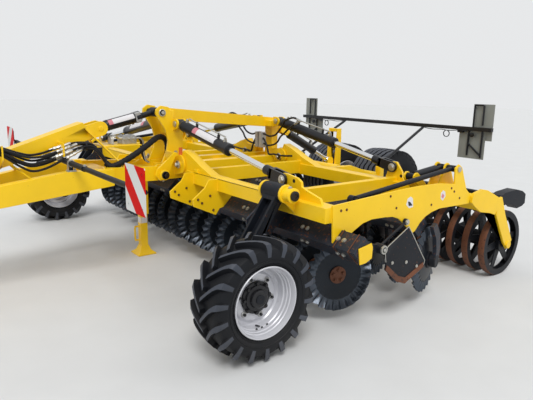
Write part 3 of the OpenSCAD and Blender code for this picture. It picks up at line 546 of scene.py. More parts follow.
def make_finishes():
    """Makes every finish and keeps it under its key."""
    c = bpy.context.scene.harrow_colours
    GROUPS["weather"] = weather_group()
    GROUPS["stripes"] = stripes_group()
    rust, grey = tuple(c.rust), (0.05, 0.05, 0.05)
    rows = {
        # Name, colour, colour under chips, roughness, metal, dust and its height, chips, grain, bump,
        # tone, shine
        "paint": ("Frame paint", c.paint, rust, 0.38, 0, 0.12, 0.9, 0.1, 150, 0.05, 0.07, 0.4),
        "steel": ("Dark paint", c.steel, rust, 0.46, 0, 0.1, 0.7, 0.3, 150, 0.15, 0.3, 0.2),
        # Beam paint: dark paint made darker still, as painted shade for the shade under the wings
        "beam": ("Beam paint", (0.013, 0.019, 0.031), rust, 0.42, 0, 0.11, 0.8, 0.62, 150, 0.15, 0.35, 0.32),
        # Disc steel: dark steel made darker still, as painted shade for the shade under the wings
        "disc": ("Disc steel", (0.012, 0.016, 0.022), rust, 0.34, 0.45, 0.07, 0.4, 0.2, 150, 0.1, 0.35, 0.35),
        # Lighter polished steel of the fluted rims: painted sheen on the flutes, and wear from the soil
        "worn": ("Worn disc rim", (0.062, 0.075, 0.095), rust,
            0.3, 0.7, 0.12, 0.35, 0.25, 150, 0.1, 0.45, 0.5),
        "rust": ("Rusted steel", c.rust, (0.05, 0.02, 0.012), 0.62, 0.15, 0.2, 0.3, 0.6, 90, 0.35, 0.45, 0.5),
        "tyre": ("Tyre rubber", c.rubber, grey, 0.55, 0, 0.09, 0.5, 0.05, 260, 0.2, 0.3, 0.22),
        "tread": ("Tread rubber", (0.038, 0.045, 0.062), grey, 0.5, 0, 0.22, 0.5, 0.05, 260, 0.2, 0.3, 0.5),
        "rim": ("Rim paint", c.rim, (0.2, 0.15, 0.1), 0.3, 0.3, 0.12, 0.4, 0.08, 150, 0.04, 0.05, 0.5),
        "chrome": ("Piston rod", (0.78, 0.79, 0.8), None, 0.14, 1, 0.05, 0.5, 0, 150, 0.01, 0.04, 0.5),
        "zinc": ("Zinc", (0.5, 0.49, 0.45), rust, 0.34, 0.85, 0.15, 0.7, 0.2, 150, 0.15, 0.12, 0.5),
        "rubber": ("Hose rubber", (0.006, 0.006, 0.0075), None, 0.42, 0, 0.04, 0.8, 0, 400, 0.15, 0.2, 0.3),
        "alloy": ("Cast alloy", (0.42, 0.42, 0.41), None, 0.45, 0.6, 0.2, 0.9, 0.1, 300, 0.15, 0.1, 0.5),
        "board": ("Sign face", (0.66, 0.67, 0.65), None, 0.5, 0, 0.015, 1, 0.05, 150, 0.02, 0.04, 0.08),
        "board_rear": ("Rear sign face", (0.72, 0.72, 0.7), None,
            0.45, 0, 0.08, 1, 0.05, 150, 0.02, 0.04, 0.1),
        "sleeve": ("Woven sleeve", (0.006, 0.006, 0.0075), None, 0.6, 0, 0.04, 1.2, 0, 700, 0.5, 0.25, 0.25),
        "grey": ("Board back", (0.27, 0.28, 0.25), None, 0.5, 0, 0.35, 1.4, 0.1, 150, 0.06, 0.12, 0.5),
        "label": ("Pale label", (0.72, 0.7, 0.7), None, 0.4, 0, 0.2, 0.9, 0.1, 150, 0.02, 0.08, 0.5),
        "pink": ("Pink label", (0.62, 0.2, 0.24), None, 0.4, 0, 0.2, 0.9, 0.1, 150, 0.02, 0.1, 0.5),
        "orange": ("Orange label", (0.75, 0.17, 0.03), None, 0.4, 0, 0.2, 0.9, 0.1, 150, 0.02, 0.1, 0.5),
        "red": ("Red lens", (0.5, 0.012, 0.01), None, 0.12, 0, 0.15, 0.9, 0, 150, 0, 0.1, 0.5),
        "black": ("Black enamel", (0.0075, 0.008, 0.0105), None, 0.32, 0, 0.06, 0.9, 0, 150, 0.15, 0.2, 0.4),
    }
    coats = {"paint": 0.12, "red": 0.6}
    bands = {
        # Second colour, pitch, slant, start
        "board": ((0.6, 0.001, 0.003), 0.271, 1.0, 0.055),
        "board_rear": ((0.6, 0.004, 0.006), 0.23, -1.0, 0.1),
    }
    for key, row in rows.items():
        FINISH[key] = finish(*row, coats.get(key, 0.0), bands.get(key))


def paint_solids():
    """Gives every solid the finish that its slot names."""
    by_slot = {"yellow_paint": "paint", "dark_steel": "steel", "rusty_steel": "rust", "tyre_rubber": "tyre",
        "silver_rim": "rim", "chrome_rod": "chrome", "grey_board": "grey", "white_board": "board",
        "black_rubber": "rubber"}
    slots = {s["node"]: s["material_slot"] for s in frame["record"]["subparts"]}
    for name, obj in frame["nodes"].items():
        # The disc beams take the beam finish, whose dark colour is partly painted shade
        key = "beam" if name.startswith("disc_beams") else by_slot[slots[name]]
        obj.data.materials.clear()
        obj.data.materials.append(FINISH[key])


# Pieces

class HARROW_OT_frames(Operator):
    """Frames with their edges eased, in place of the plain solids."""

    bl_idname = "harrow.frames"
    bl_label = "Frames"
    eased = {
        # Width of the eased edges, and the solids that have it
        0.003: ("centre_frame", "tower", "drawbar", "transport_frame", "wing_frame", "roller_frame", "jack"),
        0.002: ("disc_beams", "gauge_arm", "scraper_bar", "deflector"),
    }
    # Distances off the middle of the hanger's two faces, and of a plate that ends inside it
    hanger = (1.6495, 1.6655)
    cross_plate = 1.66

    def execute(self, context):
        for width, roots in self.eased.items():
            for name in frame["nodes"]:
                if name.removesuffix("_left").removesuffix("_right") in roots:
                    self.ease(name, width)
        return {"FINISHED"}

    def ease(self, name, width):
        solid = frame["nodes"][name]
        mesh = solid.data.copy()
        bm = bmesh.new()
        bm.from_mesh(mesh)
        bmesh.ops.remove_doubles(bm, verts=bm.verts, dist=2e-5)
        bmesh.ops.dissolve_limit(bm, angle_limit=math.radians(1.0), verts=bm.verts, edges=bm.edges)
        bm.to_mesh(mesh)
        bm.free()
        if name.startswith("wing_frame"):
            self.darken(mesh)
        obj = placed(f"{name}_body", mesh, angle=35, bevel=width, bevel_angle=40, clamp=False)
        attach(obj, solid["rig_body"])
        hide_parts(name)

    def darken(self, mesh):
        """Gives the hanger behind the gauge wheel's arm the beams' dark, rusty finish, whose dark colour is
        partly painted shade.
        """
        mesh.materials.append(FINISH["beam"])
        places = np.empty(len(mesh.vertices) * 3)
        mesh.vertices.foreach_get("co", places)
        across = np.abs(places.reshape(-1, 3)[:, 1])
        for face in mesh.polygons:
            near = across[list(face.vertices)]
            inside = near.min() > self.hanger[0] and near.max() < self.hanger[1]
            if inside and not np.allclose(near, self.cross_plate, atol=2e-4):
                face.material_index = 1


def both_shoulders(pile, shape, count, centre, marks=0):
    """Copies of a shape round one half of a tyre, and mirrored ones half a step on round the other."""
    step = 2 * np.pi / count
    turns = np.arange(count) * step
    verts, faces = shape
    pile.add(spread(shape, around_y(turns, centre)), marks)
    pile.add(spread((verts * (1, -1, 1), faces), around_y(turns + step / 2, centre)), marks)


def gauge_tyre(pile, sizes):
    """Carcass turned round the axle, with bars that run from the middle back over each shoulder."""
    outer = [(0.347, 0), (0.345, 0.065), (0.338, 0.11), (0.326, 0.13), (0.304, 0.141), (0.277, 0.1445),
        (0.25, 0.137), (0.236, 0.128), (0.23, 0.1245), (0.222, 0.113), (0.2158, 0.106)]
    profile = outer[::-1] + [(r, -h) for r, h in outer[1:]]
    verts, faces = turned(profile, 96)
    pile.add((verts + GAUGE, faces))
    bars = np.array([
        # Radius and place of the base, radius and place of the top, lag in degrees, half widths of both
        (0.338, -0.006, 0.38, -0.004, 0, 0.0165, 0.0115),
        (0.338, 0.027, 0.3795, 0.026, -4.5, 0.0175, 0.012),
        (0.336, 0.06, 0.378, 0.058, -9.5, 0.0185, 0.0125),
        (0.332, 0.093, 0.3755, 0.091, -14.5, 0.02, 0.0135),
        (0.324, 0.118, 0.37, 0.118, -18, 0.022, 0.0155),
        (0.314, 0.13, 0.36, 0.135, -19.5, 0.0245, 0.019),
        (0.298, 0.139, 0.33, 0.1448, -20, 0.0225, 0.0165),
        (0.278, 0.142, 0.286, 0.1448, -20.2, 0.018, 0.012)])
    rb, hb, rt, ht, lag, wb, wt = bars.T
    lag = np.radians(lag)
    corners = [(rb, hb, lag - wb / rb), (rt, ht, lag - wt / rt), (rt, ht, lag + wt / rt),
        (rb, hb, lag + wb / rb)]
    one = capped(np.stack([np.stack([r * np.sin(a), h, r * np.cos(a)], -1) for r, h, a in corners], 1))
    # The top of each bar is worn
    marks = [0, 1, 0, 0] * (len(bars) - 1) + [0, 1]
    both_shoulders(pile, one, sizes.lug_count, GAUGE, marks)
    # Ridges on the side wall
    for side in (-1, 1):
        for r, h in ((0.265, 0.1425), (0.2405, 0.1315)):
            ring = [(r - 0.004, side * (h - 0.004)), (r, side * (h + 0.0022)),
                (r + 0.004, side * (h - 0.003))]
            verts, faces = turned(ring, 72)
            pile.add((verts + GAUGE, faces))
    return pile


def gauge_rim(pile):
    """Stepped rim with a dished face, wheel nuts, small holes and a dark hub with a cap."""
    face = [(0.224, 0.131), (0.2195, 0.135), (0.215, 0.133), (0.2125, 0.122), (0.2085, 0.112),
        (0.207, 0.098), (0.202, 0.093), (0.2005, 0.075), (0.196, 0.07), (0.1945, 0.05), (0.189, 0.044),
        (0.186, 0.03), (0.183, 0.004), (0.175, -0.006), (0.16, -0.006), (0.152, 0.004), (0.145, 0.009),
        (0.12, 0.011), (0.095, 0.009), (0.08, 0.007)]
    back = [(0.08, -0.002), (0.12, 0.002), (0.143, 0.0), (0.15, -0.01), (0.16, -0.016), (0.177, -0.017),
        (0.19, -0.01), (0.194, -0.07), (0.206, -0.105), (0.213, -0.13), (0.2195, -0.135), (0.224, -0.131),
        (0.2165, -0.121), (0.2142, -0.11), (0.205, -0.06), (0.205, 0.06), (0.2142, 0.11), (0.2165, 0.121)]
    pile.add(turned(face + back, 96))
    # Hub: flange, barrel and cap
    pile.add(stack((0, -0.075, 0), (0, 0.1, 0), [(0.0, 0.0795), (0.085, 0.0795), (0.0855, 0.101),
        (0.0905, 0.103), (0.0985, 0.101), (0.1, 0.093), (0.101, 0.084), (0.113, 0.08), (0.116, 0.06),
        (0.134, 0.056), (0.138, 0.05), (0.139, 0.03), (0.136, 0.027), (0.136, 0.0)], 40), 1)
    collar = solid((0, 0, 0), (0, 0, 1), [(0, 0.0195), (0.004, 0.0185), (0.007, 0.015)], 20)
    dot = solid((0, 0, 0), (0, 0, 1), [(0.0, 0.0085), (0.0008, 0.0085)], 12)
    holes = circle(0.124, 0.0105, np.arange(18, 378, 60))
    pile.stand(collar, holes, (0, 1, 0), 2)
    pile.stand(bolt(0.016, 1.1, 0.0), holes, (0, 1, 0), 1)
    pile.stand(bolt(0.02, 0.6, 0.15), circle(0.092, 0.0265, np.arange(0, 360, 45)), (0, 1, 0), 1)
    pile.stand(dot, circle(0.193, 0.05, (176, 188, 200)), (0, 0.86, 0.5), 1)
    pile.add(pipe([(0, 0.02, -0.18), (0, 0.058, -0.172)], 0.005, 8), 1)
    return pile.shift(GAUGE)


class HARROW_OT_gauge_wheels(Operator):
    """Gauge wheels with barred tyres and stepped rims."""

    bl_idname = "harrow.gauge_wheels"
    bl_label = "Gauge wheels"

    def execute(self, context):
        sizes = context.scene.harrow_sizes
        both(lambda p: gauge_tyre(p, sizes), "barred_tyre", "gauge_wheel_{side}", ("tyre", "tread"),
            "gauge_tyre", angle=30)
        both(gauge_rim, "stepped_rim", "gauge_wheel_{side}", ("rim", "black", "alloy"), "gauge_rim",
            angle=30)
        return {"FINISHED"}


def carrier_tyre(pile):
    """Wide tyre with ribs round it, whose flanks swing 5 mm each way, 30 times round the tyre."""
    crown_radius, groove = 0.4375, 0.022
    ribs, pitch = 6, 0.066
    turns_of_zigzag = 30
    outer = [(0.408, 0.19), (0.385, 0.197), (0.34, 0.2), (0.29, 0.196), (0.245, 0.178), (0.222, 0.155),
        (0.2105, 0.144)]
    crown = []
    for k in range(ribs):
        h = (k - (ribs - 1) / 2) * pitch
        drop = 0.012 * (h / 0.19) ** 2
        low, high = h - pitch / 2, h + pitch / 2
        crown += [(crown_radius - groove, low + 0.004), (crown_radius - drop, low + 0.01),
            (crown_radius - drop, high - 0.01), (crown_radius - groove, high - 0.004)]
    profile = [(r, -h) for r, h in outer[::-1]] + crown + outer
    flank = np.array([0] * len(outer) + [1] * len(crown) + [0] * len(outer), float)

    def zigzag(r, h, a):
        saw = 2 * np.abs((a * turns_of_zigzag / (2 * np.pi)) % 1 - 0.5) - 0.5
        return r, h + 0.01 * saw * flank * (1 - (np.abs(h) / 0.23) ** 4)

    verts, faces = turned(profile, 180, zigzag)
    # The top of each rib is worn
    marks = [0] * len(outer) + [0, 1, 0, 0] * ribs + [0] * len(outer)
    pile.add((verts + CARRIER, faces), marks)
    # Shoulder blocks
    r, h = np.array([(0.372, 0.196), (0.404, 0.1905), (0.404, 0.17), (0.372, 0.18)]).T
    a = np.radians([-3.2, -2.6, 2.6, 3.2])[:, None]
    grown = np.array([0.0, 0.006, 0.006, 0.0])[:, None]
    part = np.stack([(r + grown) * np.sin(a), h + grown * 0.8, (r + grown) * np.cos(a)], -1)
    both_shoulders(pile, capped(part), 30, CARRIER)
    return pile


def carrier_rim(pile):
    """Deep rim with a flat disc, a hub with a cap and eight nuts."""
    face = [(0.219, 0.166), (0.214, 0.17), (0.208, 0.166), (0.203, 0.148), (0.192, 0.132), (0.187, 0.075),
        (0.177, 0.062), (0.172, 0.0), (0.15, -0.01), (0.11, -0.006), (0.075, -0.006)]
    back = [(0.075, -0.016), (0.11, -0.016), (0.152, -0.02), (0.178, -0.014), (0.187, -0.11), (0.2, -0.15),
        (0.208, -0.166), (0.214, -0.17), (0.219, -0.166), (0.2115, -0.155), (0.209, -0.14), (0.198, -0.07),
        (0.198, 0.07), (0.209, 0.14), (0.2115, 0.155)]
    pile.add(turned(face + back, 72))
    pile.add(stack((0, -0.15, 0), (0, 0.1, 0), [(0.0, 0.0749), (0.15, 0.0749), (0.156, 0.068), (0.2, 0.06),
        (0.206, 0.052), (0.206, 0.0)], 36), 1)
    pile.stand(bolt(0.027, 0.75, 0.18), circle(0.105, -0.006, np.arange(0, 360, 45)), (0, 1, 0), 2)
    return pile.shift(CARRIER)


class HARROW_OT_transport_wheels(Operator):
    """Wide ribbed transport wheels."""

    bl_idname = "harrow.transport_wheels"
    bl_label = "Transport wheels"

    def execute(self, context):
        both(carrier_tyre, "ribbed_tyre", "transport_wheel_{side}", ("tyre", "tread"), "transport_tyre",
            angle=25)
        both(carrier_rim, "deep_rim", "transport_wheel_{side}", ("rim", "black", "zinc"), "transport_rim",
            angle=30)
        return {"FINISHED"}


DISC_ANGLE = math.radians(17)
DISC_Z = 0.34
DISC_BACK = 0.17
DISC_PITCH = 0.232
DISCS_IN_ROW = 9
# Place of a row's beam, place of its outermost disc, and 1 where the hollow faces outwards
DISC_ROWS = ((-0.68, 2.03, 1), (-1.5, 2.13, -1))


def disc_moves():
    """Turn and place of each disc of the left wing."""
    moves = []
    for x, y, way in DISC_ROWS:
        c, s = math.cos(DISC_ANGLE), math.sin(DISC_ANGLE)
        m = np.array([[c, s, 0], [-s, c, 0], [0, 0, 1]]) if way > 0 else np.array(
            [[c, s, 0], [s, -c, 0], [0, 0, 1]])
        for i in range(DISCS_IN_ROW):
            moves.append(np.column_stack([m, (x - DISC_BACK, y - i * DISC_PITCH, DISC_Z)]))
    return moves


def dished_disc(sizes):
    """Dished plate whose depth falls with the square of the radius, with a fluted and scalloped rim.

    With q from 0 to 1 along the radius R and n flutes, a point at the angle a stands at
    place = dish (q^2 - 1) + 13 mm f(q) cos(n a), radius = R q (1 - 0.06 q^8 (1 + cos(n a)) / 2).
    """
    n = sizes.disc_flutes
    q = np.array([0.17, 0.3, 0.45, 0.58, 0.64, 0.69, 0.76, 0.85, 0.93, 1.0])
    a = np.linspace(0, 2 * np.pi, n * 6, endpoint=False)[:, None]
    wave = np.cos(n * a)
    lift = np.clip((q - 0.64) / 0.3, 0, 1) ** 0.7
    r = sizes.disc_diameter / 2 * q * (1 - 0.06 * q**8 * (1 + wave) / 2)
    h = sizes.disc_dish * (q**2 - 1) + 0.013 * lift * wave
    front = np.stack([r * np.sin(a), h + 0.003 + 0 * a, r * np.cos(a)], -1)
    rear = np.stack([r * np.sin(a), h - 0.003 + 0 * a, r * np.cos(a)], -1)
    return grid(np.concatenate([front, rear[:, ::-1]], 1), True)


def disc_hub():
    """Centre plate on the hollow side, bearing housing and flange bolts on the other."""
    pile = Pile()
    pile.add(button((0, -0.026, 0), (0, 1, 0), 0.062, 0.009, (0.003, 0.006), 32), 1)
    pile.stand(bolt(0.02, 0.6, 0.2), circle(0.04, -0.018, np.arange(0, 360, 72)), (0, 1, 0), 1)
    pile.add(solid((0, -0.032, 0), (0, -1, 0), [(0, 0.066), (0.01, 0.066), (0.016, 0.048), (0.02, 0.052),
        (0.06, 0.052), (0.066, 0.046)], 28))
    return pile


class HARROW_OT_discs(Operator):
    """Fluted discs with their hubs."""

    bl_idname = "harrow.discs"
    bl_label = "Discs"

    def execute(self, context):
        sizes = context.scene.harrow_sizes
        moves = disc_moves()

        def discs(pile):
            # The discs' dark steel is partly painted shade. The fluted part of each face gets lighter
            # polished steel: painted sheen on the flutes, and wear from the soil
            pile.add(spread(dished_disc(sizes), moves), [0] * 5 + [3] * 4 + [0] + [3] * 4 + [0] * 6)
            hub = disc_hub()
            flat = (np.vstack(hub.verts), hub.faces)
            verts, faces = spread(flat, moves)
            pile.add((verts, faces), 1)
            pile.marks[-len(faces):] = [m + 1 for m in hub.marks] * len(moves)
            return pile

        both(discs, "fluted_discs", "wing_{side}", ("disc", "steel", "rust", "worn"), "discs", angle=40)
        return {"FINISHED"}


def roller_rings(pile):
    """Bands of a U section turned round the shaft, flat spokes, and the shaft with its end plates."""
    low, high = spot("roller_left")
    length = high[1] - low[1]
    rings, pitch = 9, 0.16
    first = high[1] - 0.058 + 0.0003 - (rings - 1) * pitch
    band = [(0.295, -0.022), (0.295, 0.022), (0.291, 0.03), (0.28, 0.03), (0.24, 0.028), (0.24, 0.022),
        (0.278, 0.023), (0.285, 0.017), (0.285, -0.017), (0.278, -0.023), (0.24, -0.022), (0.24, -0.028),
        (0.28, -0.03), (0.291, -0.03)]
    # Only the tread of a band is rusty
    marks = [0] * 2 + [1] * 11 + [0]
    spoke = [(-0.285, -0.02), (-0.285, 0.02), (-0.07, 0.034), (0.07, 0.034), (0.285, 0.02), (0.285, -0.02),
        (0.07, -0.034), (-0.07, -0.034)]
    for i in range(rings):
        centre = np.array([0, first + i * pitch, 0])
        verts, faces = turned(band, 72)
        pile.add((verts + centre, faces), marks)
        for k in range(3):
            a = math.radians(k * 60 + i * 20)
            d = np.array([math.sin(a), 0, math.cos(a)])
            e = np.array([math.cos(a), 0, -math.sin(a)])
            pile.add(plate(spoke, 0.012, centre, d, e), 1)
    pile.add(solid((0, low[1], 0), (0, high[1], 0),
        [(0.0, 0.03), (0.012, 0.03), (0.012, 0.085), (0.02, 0.085), (0.022, 0.07), (length - 0.022, 0.07),
        (length - 0.02, 0.085), (length - 0.012, 0.085), (length - 0.012, 0.03), (length, 0.03)], 40), 1)
    return pile.shift((ROLLER[0], 0, ROLLER[2]))


class HARROW_OT_rollers(Operator):
    """Ring rollers behind the wings."""

    bl_idname = "harrow.rollers"
    bl_label = "Rollers"

    def execute(self, context):
        both(roller_rings, "ring_roller", "roller_{side}", ("rust", "steel"), "roller", angle=35)
        return {"FINISHED"}


# Cylinders: radius of the tube and its length, radius of its bore, radius and width of its eye
FOLD_TUBE = (0.0475, 0.84, 0.0256, 0.042, 0.056)
LINK_TUBE = (0.0475, 0.4, 0.0256, 0.045, 0.103)
LIFT_TUBE = (0.045, 0.5, 0.0231, 0.04, 0.052)


def wrap(a, b, radius, start, end, low, high):
    """Thin patch round a bar, between two angles and two distances along it."""
    a, d, side, up = axes(a, b)
    t = np.linspace(math.radians(low), math.radians(high), 14)
    ring = np.cos(t)[:, None] * up + np.sin(t)[:, None] * side
    corners = ((start, radius - 0.001), (end, radius - 0.001), (end, radius + 0.0007),
        (start, radius + 0.0007))
    return capped(np.stack([a + h * d + r * ring for h, r in corners], 1))


def above(a, b, distance, radius):
    """Point at a distance along a bar, off its axis by a radius on its upper side."""
    a, d, _, up = axes(a, b)
    return a + distance * d + radius * up


def eye_ring(centre, across, radius, width):
    """Eye of a cylinder, with its edges cut by 3 mm."""
    axis = np.array(across, float)
    start = np.array(centre, float) - axis * width / 2
    return stack(start, start + axis, [(0, radius - 0.003), (0.003, radius), (width - 0.003, radius),
        (width, radius - 0.003)], 36)


def cylinder_tube(pile, a, b, sizes, label, across):
    """Tube of a cylinder: eye, neck, base cap with its weld, barrel, gland with a ring, and label."""
    radius, end, bore, eye, width = sizes
    pile.add(eye_ring(a, across, eye, width))
    pile.add(stack(a, b, [(eye * 0.6, 0.026), (0.056, 0.027), (0.06, radius - 0.004),
        (0.064, radius - 0.0005), (0.08, radius - 0.0005), (0.083, radius + 0.0015),
        (0.088, radius + 0.0015), (0.091, radius - 0.0005), (end - 0.05, radius - 0.0005),
        (end - 0.048, radius + 0.003), (end - 0.008, radius + 0.003), (end - 0.002, radius - 0.003),
        (end, radius - 0.01), (end, bore), (0.092, bore)], 44))
    if label:
        first, last, low, high = label
        split = first + 0.18 * (last - first)
        pile.add(wrap(a, b, radius - 0.0005, first, split, low, high), 2)
        pile.add(wrap(a, b, radius - 0.0005, split, last, low, high), 1)
    return pile


def tube_ports(pile, a, b, sizes):
    """Two port blocks on a cylinder with elbows, and the steel pipe that feeds the far one."""
    radius, end = sizes[:2]
    for where in (0.13, end - 0.085):
        foot, top = above(a, b, where, radius - 0.004), above(a, b, where, radius + 0.022)
        pile.add(stack(foot, top, [(0, 0.015), (0.018, 0.015), (0.019, 0.011), (0.032, 0.011),
            (0.032, 0.0)], 14), 3)
    route = ((end - 0.085, 0.022), (end - 0.087, 0.034), (end - 0.11, 0.038), (end * 0.6, 0.036),
        (end * 0.3, 0.036), (0.22, 0.036), (0.17, 0.04))
    pile.add(hose([above(a, b, where, radius + lift) for where, lift in route], 0.0065, 8, 5), 3)
    for where in (end * 0.36, end * 0.78):
        foot, top = above(a, b, where, radius - 0.003), above(a, b, where, radius + 0.05)
        pile.add(stack(foot, top, [(0, 0.012), (0.03, 0.012), (0.034, 0.009), (0.047, 0.009), (0.047, 0.0)],
            6))
    return pile


def fold_tubes(pile):
    """Both fold cylinders' tubes of one wing; the front one has a label."""
    for x, label in zip(FOLD_X, ((0.3, 0.655, 10, 86), None)):
        a, b = np.array((x, *FOLD_BASE)), np.array((x, *FOLD_EYE))
        cylinder_tube(pile, a, b, FOLD_TUBE, label, (1, 0, 0))
        tube_ports(pile, a, b, FOLD_TUBE)
    return pile


def fold_pistons(pile):
    """Both fold cylinders' rods, each with a dark collar, a fork round the wing's lug and bright nuts."""
    # Half heights of the fork at its eye and at its neck
    eye, neck = 0.042, 0.037
    for x in FOLD_X:
        a, b = np.array((x, *FOLD_BASE)), np.array((x, *FOLD_EYE))
        far = np.linalg.norm(b - a)
        d = (b - a) / far
        up = np.cross((1, 0, 0), d)
        pile.add(solid(a, b, [(0.7, 0.023), (0.702, 0.025), (far - 0.2, 0.025)], 32))
        pile.add(stack(a, b, [(far - 0.225, 0.026), (far - 0.222, 0.036), (far - 0.16, neck),
            (far - 0.155, 0.03), (far - 0.15, neck), (far - 0.145, neck), (far - 0.145, 0.0)], 32), 1)
        rounded = [(eye * math.sin(t), eye * math.cos(t)) for t in np.radians(np.arange(20, 180, 20))]
        cheek = [(-0.15, -neck), (-0.15, neck), (0, eye), *rounded, (0, -eye)]
        for side in (-1, 1):
            pile.add(plate(cheek, 0.018, b + (side * 0.024, 0, 0), d, up), 1)
            pile.stand(bolt(0.042, 0.22, 0.06), [b + (side * 0.033, 0, 0)], (side, 0, 0), 2)
            pile.add(stack(b + (side * 0.03, 0, 0), b + (side * 0.1, 0, 0),
                [(0, 0.028), (0.007, 0.028), (0.01, 0.024), (0.01, 0)], 24), 2)
        head = [(-0.152, -neck), (-0.152, neck), (-0.122, neck), (-0.122, -neck)]
        pile.add(plate(head, 0.066, b, d, up), 1)
    return pile


class HARROW_OT_fold_cylinders(Operator):
    """Fold cylinders of both wings."""

    bl_idname = "harrow.fold_cylinders"
    bl_label = "Fold cylinders"

    def execute(self, context):
        both(fold_tubes, "fold_tube", "fold_barrels_{side}", ("black", "label", "pink", "zinc"),
            "fold_barrels", bevel=0.001, angle=35)
        both(fold_pistons, "fold_piston", "fold_rods_{side}", ("chrome", "black", "zinc"), "fold_rods",
            bevel=0.001, angle=35)
        return {"FINISHED"}


class HARROW_OT_middle_cylinders(Operator):
    """Top link and lift cylinder in the middle plane."""

    bl_idname = "harrow.middle_cylinders"
    bl_label = "Top link and lift cylinder"

    def execute(self, context):
        a, b = LINK_ARM, LINK_TOWER
        far = np.linalg.norm(b - a)
        tube = Pile()
        cylinder_tube(tube, a, b, LINK_TUBE, (0.085, 0.33, 26, 86), (0, 1, 0))
        d = (b - a) / far
        up = np.cross(d, (0, 1, 0))
        side = np.array([(-0.046, -0.04), (-0.046, 0.04), (-0.04, 0.047), (0.04, 0.047), (0.046, 0.04),
            (0.046, -0.04), (0.04, -0.047), (-0.04, -0.047)])
        collar = [a + h * d + side[:, :1] * up + side[:, 1:] * (0, 1, 0) for h in (0.338, 0.388)]
        tube.add(capped(np.stack(collar)), 4)
        tube.make("top_link_tube", "top_link_barrel", ("black", "label", "pink", "zinc", "alloy"),
            bevel=0.001, angle=35)
        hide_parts("top_link_barrel")

        rod = Pile()
        rod.add(solid(a, b, [(0.19, 0.025), (far - 0.02, 0.025)], 28))
        rod.add(eye_ring(b, (0, 1, 0), 0.042, 0.12), 1)
        rod.add(solid(b - (0, 0.12, 0), b, [(0, 0.028), (0.002, 0.03), (0.238, 0.03), (0.24, 0.028)], 28),
            1)
        rod.make("top_link_piston", "top_link_rod", ("black", "steel"), bevel=0.001)
        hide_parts("top_link_rod")

        a, b = LIFT_BASE, LIFT_EYE
        far = np.linalg.norm(b - a)
        tube = Pile()
        cylinder_tube(tube, a, b, LIFT_TUBE, None, (0, 1, 0))
        tube_ports(tube, a, b, LIFT_TUBE)
        tube.make("lift_tube", "lift_barrel", ("black", "label", "pink", "zinc"), bevel=0.001)
        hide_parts("lift_barrel")
        rod = Pile()
        rod.add(solid(a, b, [(0.28, 0.0225), (far - 0.04, 0.0225), (far - 0.04, 0.03),
            (far - 0.015, 0.034)], 28))
        rod.add(eye_ring(b, (0, 1, 0), 0.038, 0.05), 1)
        rod.make("lift_piston", "lift_rod", ("chrome", "black"), bevel=0.001)
        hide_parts("lift_rod")
        return {"FINISHED"}


def hose_routes():
    """Six hoses that fan out in the sag behind the rack, draw together over the beam, and go down."""
    middle = np.array([(1.86, 0.105, 0.93), (1.7, 0.125, 1.0), (1.45, 0.165, 1.075), (1.2, 0.19, 1.115),
        (1.04, 0.195, 1.125), (0.9, 0.19, 1.12), (0.758, 0.185, 1.048), (0.675, 0.185, 1.018),
        (0.579, 0.185, 1.028), (0.47, 0.18, 1.066), (0.383, 0.178, 1.098), (0.29, 0.175, 1.125),
        (0.197, 0.175, 1.118), (0.13, 0.185, 1.043), (0.085, 0.203, 0.965)])
    fan = np.array([0.5, 0.4, 0.35, 0.35, 0.4, 0.5, 0.95, 1.1, 1.05, 1.0, 0.9, 0.55, 0.32, 0.25, 0.25])
    near = np.where(fan < 0.45, 0.7, 1.0)
    for k, (across, up) in enumerate(((-0.022, 0.05), (0.02, 0.033), (-0.018, 0.012), (0.022, -0.01),
            (-0.02, -0.032), (0.018, -0.058))):
        wander = 0.005 * np.sin(np.arange(len(middle)) * 1.3 + k * 2.1)
        yield middle + np.stack([0 * wander, across * near + wander, up * fan - 0.5 * wander], -1)


